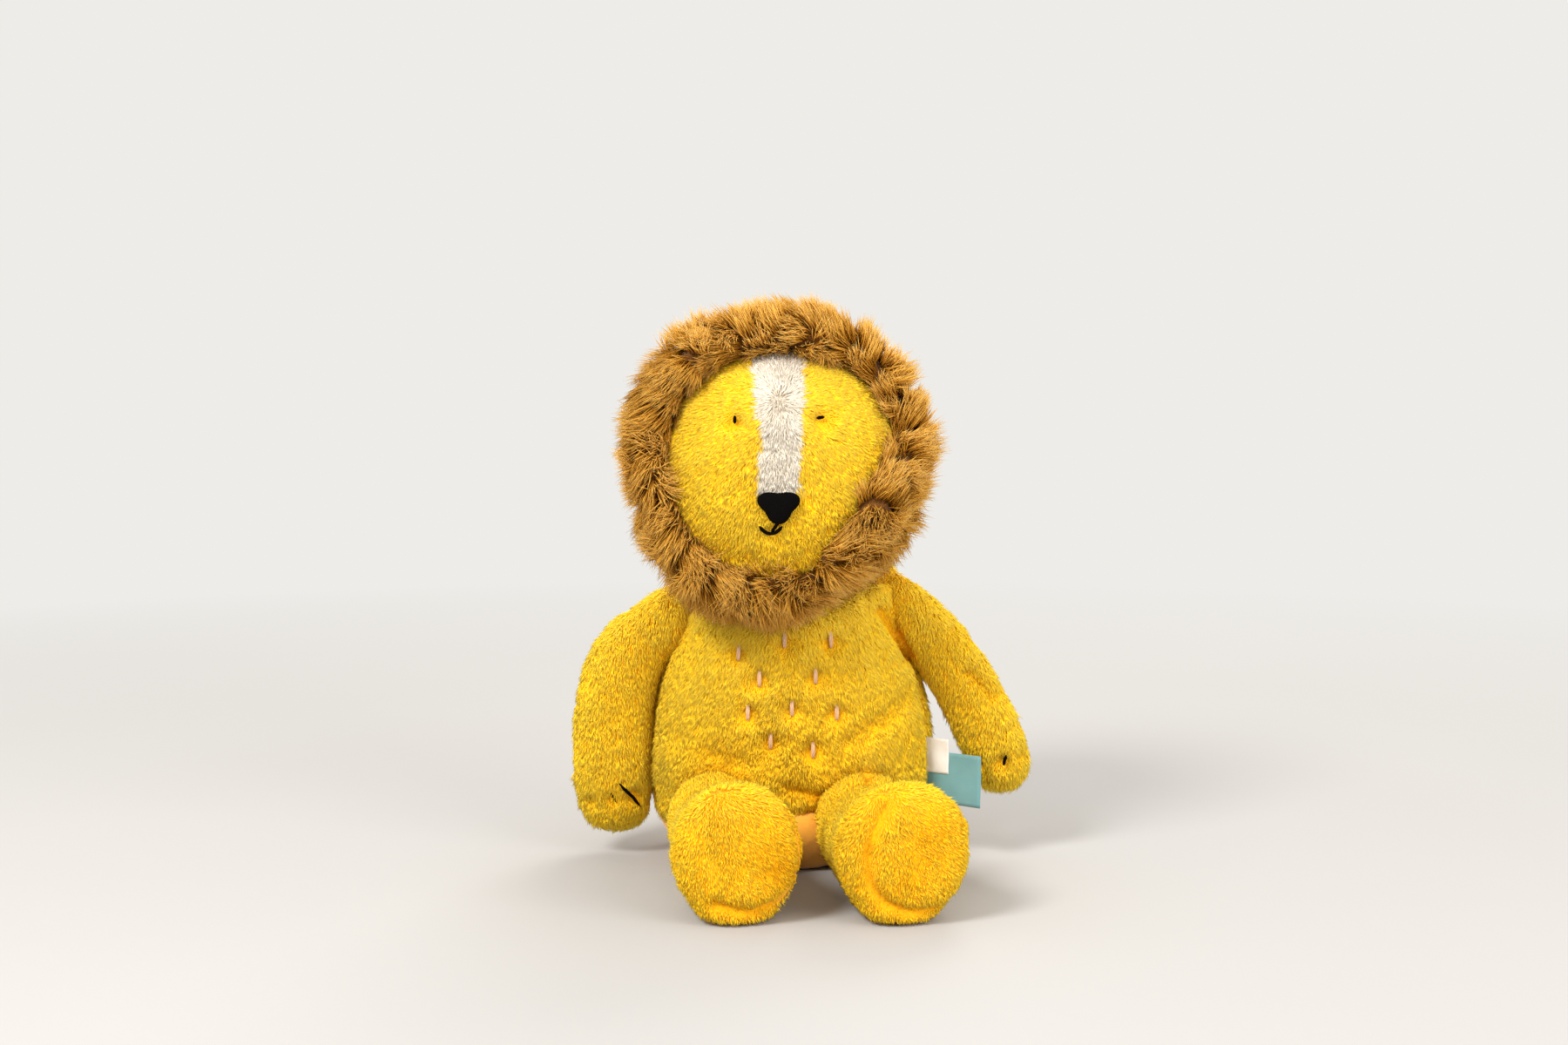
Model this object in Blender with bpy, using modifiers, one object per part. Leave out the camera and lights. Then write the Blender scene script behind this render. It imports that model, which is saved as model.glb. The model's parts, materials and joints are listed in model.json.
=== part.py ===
"""A seated plush lion, built as it is sewn: fabric panels round stuffing, with stitched details.

It faces -Y and sits on Z = 0. The origin is under the middle of the body's flat seat.
The head turns and nods in a round cup at the top of the body, the arms swing out at the
shoulders, the legs splay at the hips, and the tail swings at its root.
"""

import math

import bmesh
import bpy
from mathutils import Matrix, Vector
from mathutils.bvhtree import BVHTree

# Fabric, and the room between pieces that touch
SKIN = 0.005
GAP = 0.0003
MERGE = 0.000003
FLAT_DEPTH = 0.0005
OVERRUN = 0.02

# How much further the round end of a limb reaches than the limb is thick
ROOT_ROOM = 0.002

# Body: a pear of plush, flat where it sits
TORSO_WIDTH = 0.171
TORSO_DEPTH = 0.132
TORSO_HEIGHT = 0.165
SEAT_RISE = 0.028
SEAM_FORWARD = 0.015
POUCH_HEIGHT = 0.046

# Head: yellow face and back, with the mane round it
HEAD_WIDTH = 0.152
HEAD_HEIGHT = 0.158
HEAD_DEPTH = 0.152
HEAD_SIDE = -0.006
HEAD_FORWARD = 0.022
HEAD_SINK = 0.0280
HEAD_ROLL = math.radians(1.5)
MUZZLE_DROP = 0.022
NECK_RADIUS = 0.037
NECK_BACK = 0.014
GUSSET_RADIUS = 0.034
GUSSET_THICK = 0.0028
MANE_RADIUS = 0.096
MANE_FRONT = 0.062
STRIPE_WIDTH = 0.027

# Face: thread worked on the plush
NOSE_WIDTH = 0.023
NOSE_HEIGHT = 0.017
NOSE_THICK = 0.0022
NOSE_DROP = 0.0205
MOUTH_WIDTH = 0.014
MOUTH_DROP = 0.0335
MOUTH_SIDE = -0.004
MOUTH_DEPTH = 0.0042
THREAD = 0.0018
EYE_SPREAD = 0.048
EYE_RAISE = 0.0276
EYE_TILT = 0.0012
EYE_LENGTH = 0.0042

# Arms
ARM_LENGTH = 0.128
ARM_THICK = 0.047
ARM_ROOT = 0.038
SHOULDER_DROP = 0.027
CLAW_LENGTH = 0.017

# Legs
LEG_LENGTH = 0.134
LEG_THICK = 0.056
FOOT_WIDTH = 0.071
FOOT_HEIGHT = 0.078
SOLE_THICK = 0.0065
HIP_SPREAD = 0.084
LEFT_LEG_OUT = math.radians(-6.6)
RIGHT_LEG_OUT = math.radians(8.3)

# Tail
TAIL_THICK = 0.013
TAIL_LENGTH = 0.078
TUFT_LENGTH = 0.040
TUFT_THICK = 0.028
TAIL_HEIGHT = 0.031

# Chest stitches and side labels
STITCH_LENGTH = 0.0105
STITCH_THICK = 0.0022
WHITE_LABEL = (0.014, 0.021)
BLUE_LABEL = (0.036, 0.031)
LABEL_THICK = 0.0009
LABEL_TURN = math.radians(35)

# Shapes, as shares of the sizes above, from one end of each form to the other
TORSO_SHARES = (
    # height, width, depth
    (-0.003, 0.42, 0.42),
    (-0.003, 0.66, 0.66),
    (0.055, 0.92, 0.90),
    (0.250, 1.02, 1.01),
    (0.480, 1.01, 1.01),
    (0.700, 0.93, 0.93),
    (0.880, 0.78, 0.79),
    (1.060, 0.62, 0.64),
    (1.200, 0.40, 0.42),
)
HEAD_SHARES = (
    # way back, drop of the muzzle, width, height
    (0.000, 1.00, 0.24, 0.22),
    (0.043, 0.95, 0.48, 0.46),
    (0.140, 0.60, 0.78, 0.76),
    (0.302, 0.15, 0.95, 0.93),
    (0.540, 0.00, 1.01, 1.00),
    (0.765, 0.00, 0.98, 0.98),
    (0.925, -0.05, 0.72, 0.74),
    (1.000, -0.05, 0.36, 0.38),
)
MANE_SHARES = (
    # way back from the centre, radius, depth of the hollows between locks; all of the mane's radius
    (-0.635, 0.51, 0),
    (-0.625, 0.74, 0.06),
    (-0.480, 0.885, 0.13),
    (-0.210, 0.985, 0.13),
    (0.100, 0.995, 0.10),
    (0.420, 0.900, 0.06),
    (0.715, 0.660, 0.08),
    (0.865, 0.31, 0),
)
MANE_SEAM_SHARE = 0.10
# The arm's middle line, outwards and down, and its thickness
LEFT_ARM_SHARES = (
    (0.00, 0.00, 0.86),
    (0.120, 0.045, 0.96),
    (0.222, 0.205, 1.03),
    (0.262, 0.485, 1.05),
    (0.252, 0.785, 1.02),
    (0.232, 0.930, 0.76),
    (0.227, 0.970, 0.42),
)
RIGHT_ARM_SHARES = (
    (0.00, 0.00, 0.86),
    (0.080, 0.050, 0.90),
    (0.177, 0.175, 0.86),
    (0.322, 0.420, 0.88),
    (0.402, 0.630, 0.90),
    (0.427, 0.745, 0.70),
    (0.434, 0.785, 0.40),
)
LEG_SHARES = (
    # way along the leg, how far the leg has become the foot, size
    (0.00, 0.00, 0.92),
    (0.22, 0.00, 0.98),
    (0.48, 0.12, 1.00),
    (0.68, 0.50, 1.00),
    (0.83, 0.95, 1.00),
    (0.945, 1.02, 1.00),
    (1.000, 0.95, 0.80),
)
# The tail's middle line from its root: sideways and back, of its length
TAIL_SHARES = ((0.00, 0.00), (0.02, 0.22), (0.16, 0.41), (0.42, 0.49), (0.70, 0.47))
TUFT_SHARES = ((0.0, 0.36), (0.14, 0.82), (0.45, 1.05), (0.75, 0.80), (1.0, 0.26))
# Chest stitches: sideways of the body's width, up of its height
STITCH_SHARES = (
    (-0.171, 0.774),
    (-0.018, 0.820),
    (0.136, 0.820),
    (-0.103, 0.687),
    (0.086, 0.700),
    (-0.141, 0.571),
    (0.006, 0.590),
    (0.156, 0.571),
    (-0.065, 0.473),
    (0.077, 0.442),
)
# Claws: sideways of the arm's thickness from the paw's middle, up of the claw's length
CLAW_SHARES = (-0.26, 0.02, 0.30)
CLAW_UP_SHARE = 1.35

HEAD_FRONT_SHARE = 0.54
HIP_DEPTH_SHARE = 0.42
SHOULDER_OUT_SHARE = 0.440
SHOULDER_BACK_SHARE = -0.040
TAIL_BACK_SHARE = 0.485
LABEL_UP_SHARES = (0.372, 0.293)
NOSE_TUCK_SHARE = 0.35
NOSE_CORNER_SHARE = 0.13
NOSE_POINTS = 24
MOUTH_POINTS = 12
STITCH_SEGMENTS = 6
STITCH_RINGS = 5

BODY_POINTS = 10
MANE_POINTS = 32
LIMB_POINTS = 6
BODY_LINING_POINTS = 6
LIMB_LINING_POINTS = 5
JOINT_SEGMENTS = 16
HEAD_SEGMENTS = 28

# Colours of the finishes
YELLOW = (0.86, 0.50, 0.03)
CREAM = (0.84, 0.79, 0.70)
TAN = (0.34, 0.17, 0.05)
SEAT_ORANGE = (0.72, 0.36, 0.10)
BLACK = (0.012, 0.011, 0.012)
PINK = (0.80, 0.62, 0.56)
WHITE = (0.86, 0.86, 0.85)
BEANS = (0.55, 0.53, 0.50)
TEAL = (0.04, 0.30, 0.42)
PLUSH_ROUGH = 0.95
THREAD_ROUGH = 0.6


def clear_scene():
    for obj in list(bpy.data.objects):
        bpy.data.objects.remove(obj, do_unlink=True)


clear_scene()
parts = bpy.data.collections.new("plush_lion")
cutters = bpy.data.collections.new("cutters")
for group in (parts, cutters):
    bpy.context.scene.collection.children.link(group)


# Helpers: materials, pivots and meshes


def material(name, colour, roughness):
    made = bpy.data.materials.new(name)
    made.use_nodes = True
    shader = made.node_tree.nodes["Principled BSDF"]
    shader.inputs["Base Color"].default_value = (*colour, 1)
    shader.inputs["Roughness"].default_value = roughness
    shader.inputs["Metallic"].default_value = 0
    made.diffuse_color = (*colour, 1)
    return made


def pivot(name, place, parent=None):
    """An empty on a joint's axis, which carries the pieces that move together."""
    empty = bpy.data.objects.new(name, None)
    empty.location = place - (parent.matrix_world.translation if parent else Vector())
    empty.parent = parent
    parts.objects.link(empty)
    bpy.context.view_layer.update()
    return empty


def helper(name, mesh):
    """A guide or cutter: it shapes other pieces and is no piece itself."""
    obj = bpy.data.objects.new(name, mesh)
    obj.hide_render = True
    obj.display_type = "WIRE"
    cutters.objects.link(obj)
    return obj


def mesh_from(name, bm):
    bmesh.ops.recalc_face_normals(bm, faces=bm.faces)
    mesh = bpy.data.meshes.new(name)
    bm.to_mesh(mesh)
    bm.free()
    mesh.shade_smooth()
    return mesh


def shown_mesh(obj):
    """The object's mesh with its modifiers applied, in world space."""
    bpy.context.view_layer.update()
    graph = bpy.context.evaluated_depsgraph_get()
    mesh = bpy.data.meshes.new_from_object(obj.evaluated_get(graph))
    mesh.transform(obj.matrix_world)
    return mesh


def ring(centre, side, up, half_side, half_up, count):
    """An ellipse of cage points, outside the smooth ellipse that subdivision makes of them."""
    swell = 3 / (2 + math.cos(2 * math.pi / count))
    turns = [2 * math.pi * i / count for i in range(count)]
    return [
        centre
        + side * (half_side * swell * math.cos(turn))
        + up * (half_up * swell * math.sin(turn))
        for turn in turns
    ]


def soft_form(name, rings):
    """A stuffed form: a loft through its rings, closed at both ends and subdivided."""
    bm = bmesh.new()
    rows = [[bm.verts.new(point) for point in row] for row in rings]
    count = len(rows[0])
    for low, high in zip(rows, rows[1:]):
        for i in range(count):
            j = (i + 1) % count
            bm.faces.new((low[i], low[j], high[j], high[i]))
    bm.faces.new(rows[0])
    bm.faces.new(rows[-1])
    cage = helper(name + "_cage", mesh_from(name + "_cage", bm))
    smooth = cage.modifiers.new("smooth", "SUBSURF")
    smooth.levels = 1
    smooth.render_levels = 1
    bm = bmesh.new()
    bm.from_mesh(shown_mesh(cage))
    bpy.data.objects.remove(cage, do_unlink=True)
    # One fixed diagonal in each face, so that forms nested in each other keep their distance
    bmesh.ops.triangulate(bm, faces=bm.faces, quad_method="FIXED")
    return helper(name, mesh_from(name, bm))


def grown(form, distance):
    """A copy of a form with its surface moved out, or in where the distance is negative."""
    obj = helper(f"{form.name}_{'out' if distance > 0 else 'in'}", form.data.copy())
    move = obj.modifiers.new("move", "DISPLACE")
    move.mid_level = 0
    move.strength = distance
    return obj


def ball(name, centre, radius, segments, axis):
    """A round ball with its poles on an axis, so that it turns about that axis in its socket."""
    bm = bmesh.new()
    bmesh.ops.create_uvsphere(bm, u_segments=segments, v_segments=segments // 2, radius=radius)
    turn = Vector((0, 0, 1)).rotation_difference(axis).to_matrix().to_4x4()
    bm.transform(Matrix.Translation(centre) @ turn)
    return helper(name, mesh_from(name, bm))


def socket_radius(radius, segments):
    """A faceted socket's radius that clears a faceted ball as it turns about their poles."""
    return (radius + GAP) / math.cos(math.pi / segments)


def block(name, low, high):
    bm = bmesh.new()
    bmesh.ops.create_cube(bm, size=1)
    low, high = Vector(low), Vector(high)
    scale = Matrix.Diagonal((*(high - low), 1))
    bm.transform(Matrix.Translation((low + high) / 2) @ scale)
    return helper(name, mesh_from(name, bm))


def column(name, centre, radius, low, high):
    bm = bmesh.new()
    bmesh.ops.create_cone(
        bm,
        cap_ends=True,
        segments=HEAD_SEGMENTS // 2,
        radius1=radius,
        radius2=radius,
        depth=high - low,
    )
    bm.transform(Matrix.Translation((centre.x, centre.y, (low + high) / 2)))
    return helper(name, mesh_from(name, bm))


def boolean(obj, operation, other):
    cut = obj.modifiers.new(operation.lower(), "BOOLEAN")
    cut.operation = operation
    cut.solver = "EXACT"
    cut.object = other


def rolled(obj):
    """Leans a head form, or a block that splits it, to the side that the head leans to."""
    about = Matrix.Translation(HEAD_CENTRE)
    obj.data.transform(about @ Matrix.Rotation(HEAD_ROLL, 4, "Y") @ about.inverted())
    return obj


def joined(name, first, *others):
    """A cutter made of several, which overlap."""
    obj = helper(name, shown_mesh(first))
    for other in others:
        boolean(obj, "UNION", other)
    return obj


def piece(name, form, finish, carrier, joins=(), cuts=(), keeps=()):
    """A node: a form with others joined to it, cut from it, and a block that it is kept inside."""
    mesh = shown_mesh(form)
    mesh.transform(Matrix.Translation(-carrier.matrix_world.translation))
    mesh.materials.clear()
    mesh.materials.append(finish)
    obj = bpy.data.objects.new(name, mesh)
    obj.parent = carrier
    parts.objects.link(obj)
    for other in joins:
        boolean(obj, "UNION", other)
    for other in cuts:
        boolean(obj, "DIFFERENCE", other)
    for other in keeps:
        boolean(obj, "INTERSECT", other)
    return obj


def surface_at(form, x, z):
    """The point of a form's front that is seen at this place, and which way it faces."""
    bpy.context.view_layer.update()
    tree = BVHTree.FromObject(form, bpy.context.evaluated_depsgraph_get())
    place, facing, _, _ = tree.ray_cast(Vector((x, -REACH, z)), Y_AXIS)
    return place, facing


def stitch(name, form, x, z, length, thick, lean, finish, carrier, cutter):
    """A satin stitch: a slim bead that lies on the plush, flat against it."""
    place, facing = surface_at(form, x, z)
    along = Vector((math.sin(lean), 0, math.cos(lean)))
    along = (along - facing * along.dot(facing)).normalized()
    across = along.cross(facing)
    bm = bmesh.new()
    bmesh.ops.create_uvsphere(bm, u_segments=STITCH_SEGMENTS, v_segments=STITCH_RINGS, radius=1)
    turn = Matrix((across, facing, along)).transposed().to_4x4()
    size = Matrix.Diagonal((thick / 2, thick / 2, length / 2, 1))
    bm.transform(Matrix.Translation(place) @ turn @ size)
    bead = helper(name + "_bead", mesh_from(name + "_bead", bm))
    return piece(name, bead, finish, carrier, cuts=(cutter,))


# Materials

yellow = material("yellow_plush", YELLOW, PLUSH_ROUGH)
cream = material("cream_plush", CREAM, PLUSH_ROUGH)
tan = material("tan_long_pile", TAN, PLUSH_ROUGH)
seat_cloth = material("seat_cloth", SEAT_ORANGE, PLUSH_ROUGH)
black_thread = material("black_thread", BLACK, THREAD_ROUGH)
pink_thread = material("pink_thread", PINK, THREAD_ROUGH)
stuffing = material("stuffing", WHITE, PLUSH_ROUGH)
beans = material("bean_bag", BEANS, PLUSH_ROUGH)
white_tape = material("white_tape", WHITE, THREAD_ROUGH)
teal_tape = material("teal_tape", TEAL, THREAD_ROUGH)

# Axes and centres, which the rest is placed by

X_AXIS, Y_AXIS, Z_AXIS = Vector((1, 0, 0)), Vector((0, 1, 0)), Vector((0, 0, 1))
HEAD_BALL = MANE_RADIUS + GAP
GUSSET_INNER = socket_radius(HEAD_BALL, HEAD_SEGMENTS)
GUSSET_OUTER = GUSSET_INNER + GUSSET_THICK
CUP_RADIUS = socket_radius(GUSSET_OUTER, HEAD_SEGMENTS)
HEAD_CENTRE = Vector((HEAD_SIDE, -HEAD_FORWARD, TORSO_HEIGHT - HEAD_SINK + CUP_RADIUS))
NECK_CENTRE = HEAD_CENTRE + Vector((0, NECK_BACK, 0))
HIP_BALL = LEG_THICK / 2 + ROOT_ROOM
HIP_CENTRES = [
    Vector((side * HIP_SPREAD / 2, -HIP_DEPTH_SHARE * TORSO_DEPTH, HIP_BALL - FLAT_DEPTH))
    for side in (-1, 1)
]
SHOULDER_BALL = ARM_ROOT / 2 + ROOT_ROOM
SHOULDERS = [
    Vector(
        (
            side * SHOULDER_OUT_SHARE * TORSO_WIDTH,
            SHOULDER_BACK_SHARE * TORSO_DEPTH,
            TORSO_HEIGHT - SHOULDER_DROP,
        )
    )
    for side in (-1, 1)
]
TAIL_BALL = TAIL_THICK / 2 + ROOT_ROOM
TAIL_ROOT = Vector((0, TAIL_BACK_SHARE * TORSO_DEPTH, TAIL_HEIGHT))

body = pivot("body_pivot", Vector())
neck = pivot("neck_turn_pivot", HEAD_CENTRE, body)
head = pivot("head_nod_pivot", HEAD_CENTRE, neck)
arms = [pivot(f"{s}_shoulder_pivot", p, body) for s, p in zip(("left", "right"), SHOULDERS)]
legs = [pivot(f"{s}_hip_pivot", p, body) for s, p in zip(("left", "right"), HIP_CENTRES)]
tail = pivot("tail_pivot", TAIL_ROOT, body)

# Everything is cut flat on the plane it sits on, and these blocks split the panels at their seams
REACH = TORSO_WIDTH + LEG_LENGTH
TOP = HEAD_CENTRE.z + MANE_RADIUS + OVERRUN
floor = block("floor_cut", (-REACH, -REACH, -REACH), (REACH, REACH, 0))


def torso_form(name, points):
    rows = [
        ring(
            Vector((0, 0, up * TORSO_HEIGHT)),
            X_AXIS,
            Y_AXIS,
            wide * TORSO_WIDTH / 2,
            deep * TORSO_DEPTH / 2,
            points,
        )
        for up, wide, deep in TORSO_SHARES
    ]
    return soft_form(name, rows)


def head_form(name, points):
    front = HEAD_CENTRE.y - HEAD_FRONT_SHARE * HEAD_DEPTH
    rows = [
        ring(
            Vector((HEAD_CENTRE.x, front + back * HEAD_DEPTH, HEAD_CENTRE.z - drop * MUZZLE_DROP)),
            Z_AXIS,
            X_AXIS,
            high * HEAD_HEIGHT / 2,
            wide * HEAD_WIDTH / 2,
            points,
        )
        for back, drop, wide, high in HEAD_SHARES
    ]
    return rolled(soft_form(name, rows))


def mane_form(name, points):
    """A hood of locks with hollows between them. The locks behind are staggered from those in front."""
    rows = []
    for back, size, hollow in MANE_SHARES:
        centre = HEAD_CENTRE + Y_AXIS * (back * MANE_RADIUS)
        high, low = size * MANE_RADIUS, (size - hollow) * MANE_RADIUS
        crests = ring(centre, Z_AXIS, X_AXIS, high, high, points)
        hollows = ring(centre, Z_AXIS, X_AXIS, low, low, points)
        shift = int(back > 0)
        rows.append([(crests, hollows)[(j + shift) % 2][j] for j in range(points)])
    return soft_form(name, rows)


def arm_line(side, shares):
    return [
        SHOULDERS[side] + Vector(((-1, 1)[side] * out, 0, -down)) * ARM_LENGTH
        for out, down, _ in shares
    ]


def arm_form(name, side, shares, points):
    line = arm_line(side, shares)
    rows = []
    for i, (centre, (_, _, size)) in enumerate(zip(line, shares)):
        along = line[min(i + 1, len(line) - 1)] - line[max(i - 1, 0)]
        across = along.cross(Y_AXIS).normalized()
        half = size * ARM_THICK / 2 if i else ARM_ROOT / 2 * size
        rows.append(ring(centre, across, Y_AXIS, half, half, points))
    return soft_form(name, rows)


def leg_way(side):
    angle = (LEFT_LEG_OUT, RIGHT_LEG_OUT)[side] * (-1, 1)[side]
    return Vector((math.sin(angle), -math.cos(angle), 0))


def leg_form(name, side, points):
    way = leg_way(side)
    across = way.cross(Z_AXIS)
    rows = []
    for along, foot, size in LEG_SHARES:
        wide = (LEG_THICK + (FOOT_WIDTH - LEG_THICK) * foot) * size
        high = (LEG_THICK + (FOOT_HEIGHT - LEG_THICK) * foot) * size
        middle = (LEG_THICK + (FOOT_HEIGHT - LEG_THICK) * foot) / 2
        centre = HIP_CENTRES[side] + way * (along * LEG_LENGTH)
        centre.z = middle - FLAT_DEPTH
        rows.append(ring(centre, across, Z_AXIS, wide / 2, high / 2, points))
    return soft_form(name, rows)


def tail_form(name, thick, points):
    line = [TAIL_ROOT + Vector((x, y, 0)) * TAIL_LENGTH for x, y in TAIL_SHARES]
    rest = thick / 2 - FLAT_DEPTH
    rows = []
    for i, centre in enumerate(line):
        centre.z -= (TAIL_HEIGHT - rest) * min(1, i / (len(line) - 2))
        along = line[min(i + 1, len(line) - 1)] - line[max(i - 1, 0)]
        across = along.cross(Z_AXIS).normalized()
        up = across.cross(along).normalized()
        rows.append(ring(centre, across, up, thick / 2, thick / 2, points))
    return soft_form(name, rows)


def tuft_form(name, points):
    shares = [TAIL_SHARES[-2], TAIL_SHARES[-1]]
    near, end = [TAIL_ROOT + Vector((x, y, 0)) * TAIL_LENGTH for x, y in shares]
    way = (end - near).normalized()
    across = way.cross(Z_AXIS)
    start = end - way * TAIL_THICK
    rows = []
    for along, size in TUFT_SHARES:
        centre = start + way * (along * TUFT_LENGTH)
        centre.z = TUFT_THICK / 2
        half = size * TUFT_THICK / 2
        rows.append(ring(centre, across, Z_AXIS, half, half, points))
    return soft_form(name, rows)


# Joint balls, and the sockets that clear them


def joint(name, centre, radius, axis):
    made = ball(name + "_ball", centre, radius, JOINT_SEGMENTS, axis)
    room = ball(name + "_socket", centre, socket_radius(radius, JOINT_SEGMENTS), JOINT_SEGMENTS, axis)
    return made, room


hips = [joint(f"{s}_hip", p, HIP_BALL, Z_AXIS) for s, p in zip(("left", "right"), HIP_CENTRES)]
shoulders = [
    joint(f"{s}_shoulder", p, SHOULDER_BALL, Y_AXIS) for s, p in zip(("left", "right"), SHOULDERS)
]
tail_joint = joint("tail", TAIL_ROOT, TAIL_BALL, Z_AXIS)
cup = ball("head_cup", HEAD_CENTRE, CUP_RADIUS, HEAD_SEGMENTS, Z_AXIS)
head_ball = ball("head_ball", HEAD_CENTRE, HEAD_BALL, HEAD_SEGMENTS, X_AXIS)
sockets = [hips[0][1], hips[1][1], shoulders[0][1], shoulders[1][1], tail_joint[1]]


# Body


def build_body():
    outer = torso_form("torso", BODY_POINTS)
    lining = torso_form("torso_lining", BODY_LINING_POINTS)
    core = grown(lining, -SKIN)
    inside = grown(lining, -SKIN - GAP)
    seam = -SEAM_FORWARD
    half = GAP / 2
    front = block("front_side", (-REACH, -REACH, SEAT_RISE + half), (REACH, seam - half, TOP))
    back = block("back_side", (-REACH, seam + half, SEAT_RISE + half), (REACH, REACH, TOP))
    under = block("seat_side", (-REACH, -REACH, 0), (REACH, REACH, SEAT_RISE - half))
    upper = block("filling_side", (-REACH, -REACH, POUCH_HEIGHT + half), (REACH, REACH, TOP))
    lower = block("pouch_side", (-REACH, -REACH, 0), (REACH, REACH, POUCH_HEIGHT - half))
    cuts = (core, cup, *sockets)
    piece("torso_front_panel", outer, yellow, body, cuts=cuts, keeps=(front,))
    piece("torso_back_panel", outer, yellow, body, cuts=cuts, keeps=(back,))
    piece("seat_panel", outer, seat_cloth, body, cuts=cuts, keeps=(under,))
    piece("torso_filling", inside, stuffing, body, cuts=(cup, *sockets), keeps=(upper,))
    piece("bean_pouch", inside, beans, body, cuts=tuple(sockets), keeps=(lower,))
    return outer


def build_chest_stitches(torso):
    cutter = grown(torso, GAP)
    for i, (side, up) in enumerate(STITCH_SHARES):
        stitch(
            f"chest_stitch_{i + 1:02}",
            torso,
            side * TORSO_WIDTH,
            up * TORSO_HEIGHT,
            STITCH_LENGTH,
            STITCH_THICK,
            0,
            pink_thread,
            body,
            cutter,
        )


def build_labels(torso):
    """Two blank tapes sewn into the right side seam, which stand out of it."""
    cutter = grown(torso, GAP)
    turn = Matrix.Rotation(-LABEL_TURN, 4, "Z")
    between = sum(LABEL_UP_SHARES) / len(LABEL_UP_SHARES) * TORSO_HEIGHT
    seam = Vector((side_at(torso, between), -SEAM_FORWARD, 0))
    labels = (
        ("side_label_white", WHITE_LABEL, white_tape, LABEL_UP_SHARES[0], 0),
        ("side_label_blue", BLUE_LABEL, teal_tape, LABEL_UP_SHARES[1], LABEL_THICK + GAP),
    )
    for name, (wide, high), finish, up, back in labels:
        bm = bmesh.new()
        bmesh.ops.create_cube(bm, size=1)
        bm.transform(Matrix.Diagonal((wide + SKIN, LABEL_THICK, high, 1)))
        bm.transform(Matrix.Translation(((wide - SKIN) / 2, back, up * TORSO_HEIGHT)))
        bm.transform(Matrix.Translation(seam) @ turn)
        tape = helper(name + "_tape", mesh_from(name + "_tape", bm))
        piece(name, tape, finish, body, cuts=(cutter,))


def side_at(form, z):
    """How far out the body's right side is, at its seam, at this height."""
    bpy.context.view_layer.update()
    tree = BVHTree.FromObject(form, bpy.context.evaluated_depsgraph_get())
    place, _, _, _ = tree.ray_cast(Vector((REACH, -SEAM_FORWARD, z)), -X_AXIS)
    return place.x


# Head and mane


def neck_tube(name, radius):
    return column(name, NECK_CENTRE, radius, HEAD_CENTRE.z - HEAD_BALL - OVERRUN, HEAD_CENTRE.z)


def build_head():
    outer = head_form("head", BODY_POINTS)
    whole = joined("head_whole", outer, neck_tube("neck_outside", NECK_RADIUS))
    lining = head_form("head_lining", BODY_LINING_POINTS)
    neck_core = neck_tube("neck_core", NECK_RADIUS - SKIN)
    neck_inside = neck_tube("neck_inside", NECK_RADIUS - SKIN - GAP)
    core = joined("head_core", grown(lining, -SKIN), neck_core)
    inside = joined("head_inside", grown(lining, -SKIN - GAP), neck_inside)
    half = GAP / 2
    seam = HEAD_CENTRE.y - MANE_FRONT / 2
    centre = HEAD_CENTRE
    stripe_foot = centre.z - NOSE_DROP + NOSE_HEIGHT * NOSE_TUCK_SHARE
    wide = STRIPE_WIDTH / 2
    mid = centre.x
    left = rolled(block("left_cheek", (-REACH, -REACH, 0), (mid - half, seam - half, TOP)))
    right = rolled(block("right_cheek", (mid + half, -REACH, 0), (REACH, seam - half, TOP)))
    low, high = (mid - wide, -REACH, stripe_foot), (mid + wide, seam - half, TOP)
    middle = rolled(block("stripe_side", low, high))
    low, high = (mid - wide - GAP, -REACH, stripe_foot - GAP), (mid + wide + GAP, seam, TOP)
    room = rolled(block("stripe_room", low, high))
    back = block("head_back", (-REACH, seam + half, 0), (REACH, REACH, TOP))
    piece("face_left_panel", whole, yellow, head, cuts=(core, room), keeps=(left, head_ball))
    piece("face_right_panel", whole, yellow, head, cuts=(core, room), keeps=(right, head_ball))
    piece("face_stripe", whole, cream, head, cuts=(core,), keeps=(middle, head_ball))
    piece("head_back_panel", whole, yellow, head, cuts=(core,), keeps=(back, head_ball))
    piece("head_filling", inside, stuffing, head, keeps=(head_ball,))
    return outer, whole


def build_mane(outer):
    whole = joined("mane_room", grown(outer, GAP), neck_tube("neck_room", NECK_RADIUS + GAP))
    form = mane_form("mane", MANE_POINTS)
    split = HEAD_CENTRE.y + MANE_SEAM_SHARE * MANE_RADIUS
    half = GAP / 2
    front = block("mane_front", (-REACH, -REACH, 0), (REACH, split - half, TOP))
    back = block("mane_back", (-REACH, split + half, 0), (REACH, REACH, TOP))
    piece("mane_band", form, tan, head, cuts=(whole,), keeps=(front, head_ball))
    piece("mane_back_panel", form, tan, head, cuts=(whole,), keeps=(back, head_ball))


def flat_outline(name, points, deep):
    """A filled outline in X and Z, drawn out along Y, as a mesh."""
    curve = bpy.data.curves.new(name, "CURVE")
    curve.dimensions = "2D"
    curve.fill_mode = "BOTH"
    curve.extrude = deep / 2
    line = curve.splines.new("POLY")
    line.points.add(len(points) - 1)
    for point, (x, z) in zip(line.points, points):
        point.co = (x, z, 0, 1)
    line.use_cyclic_u = True
    obj = helper(name + "_curve", curve)
    mesh = shown_mesh(obj)
    bpy.data.objects.remove(obj, do_unlink=True)
    mesh.transform(Matrix.Rotation(math.pi / 2, 4, "X"))
    bm = bmesh.new()
    bm.from_mesh(mesh)
    bmesh.ops.remove_doubles(bm, verts=bm.verts, dist=MERGE)
    return helper(name, mesh_from(name, bm))


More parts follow.
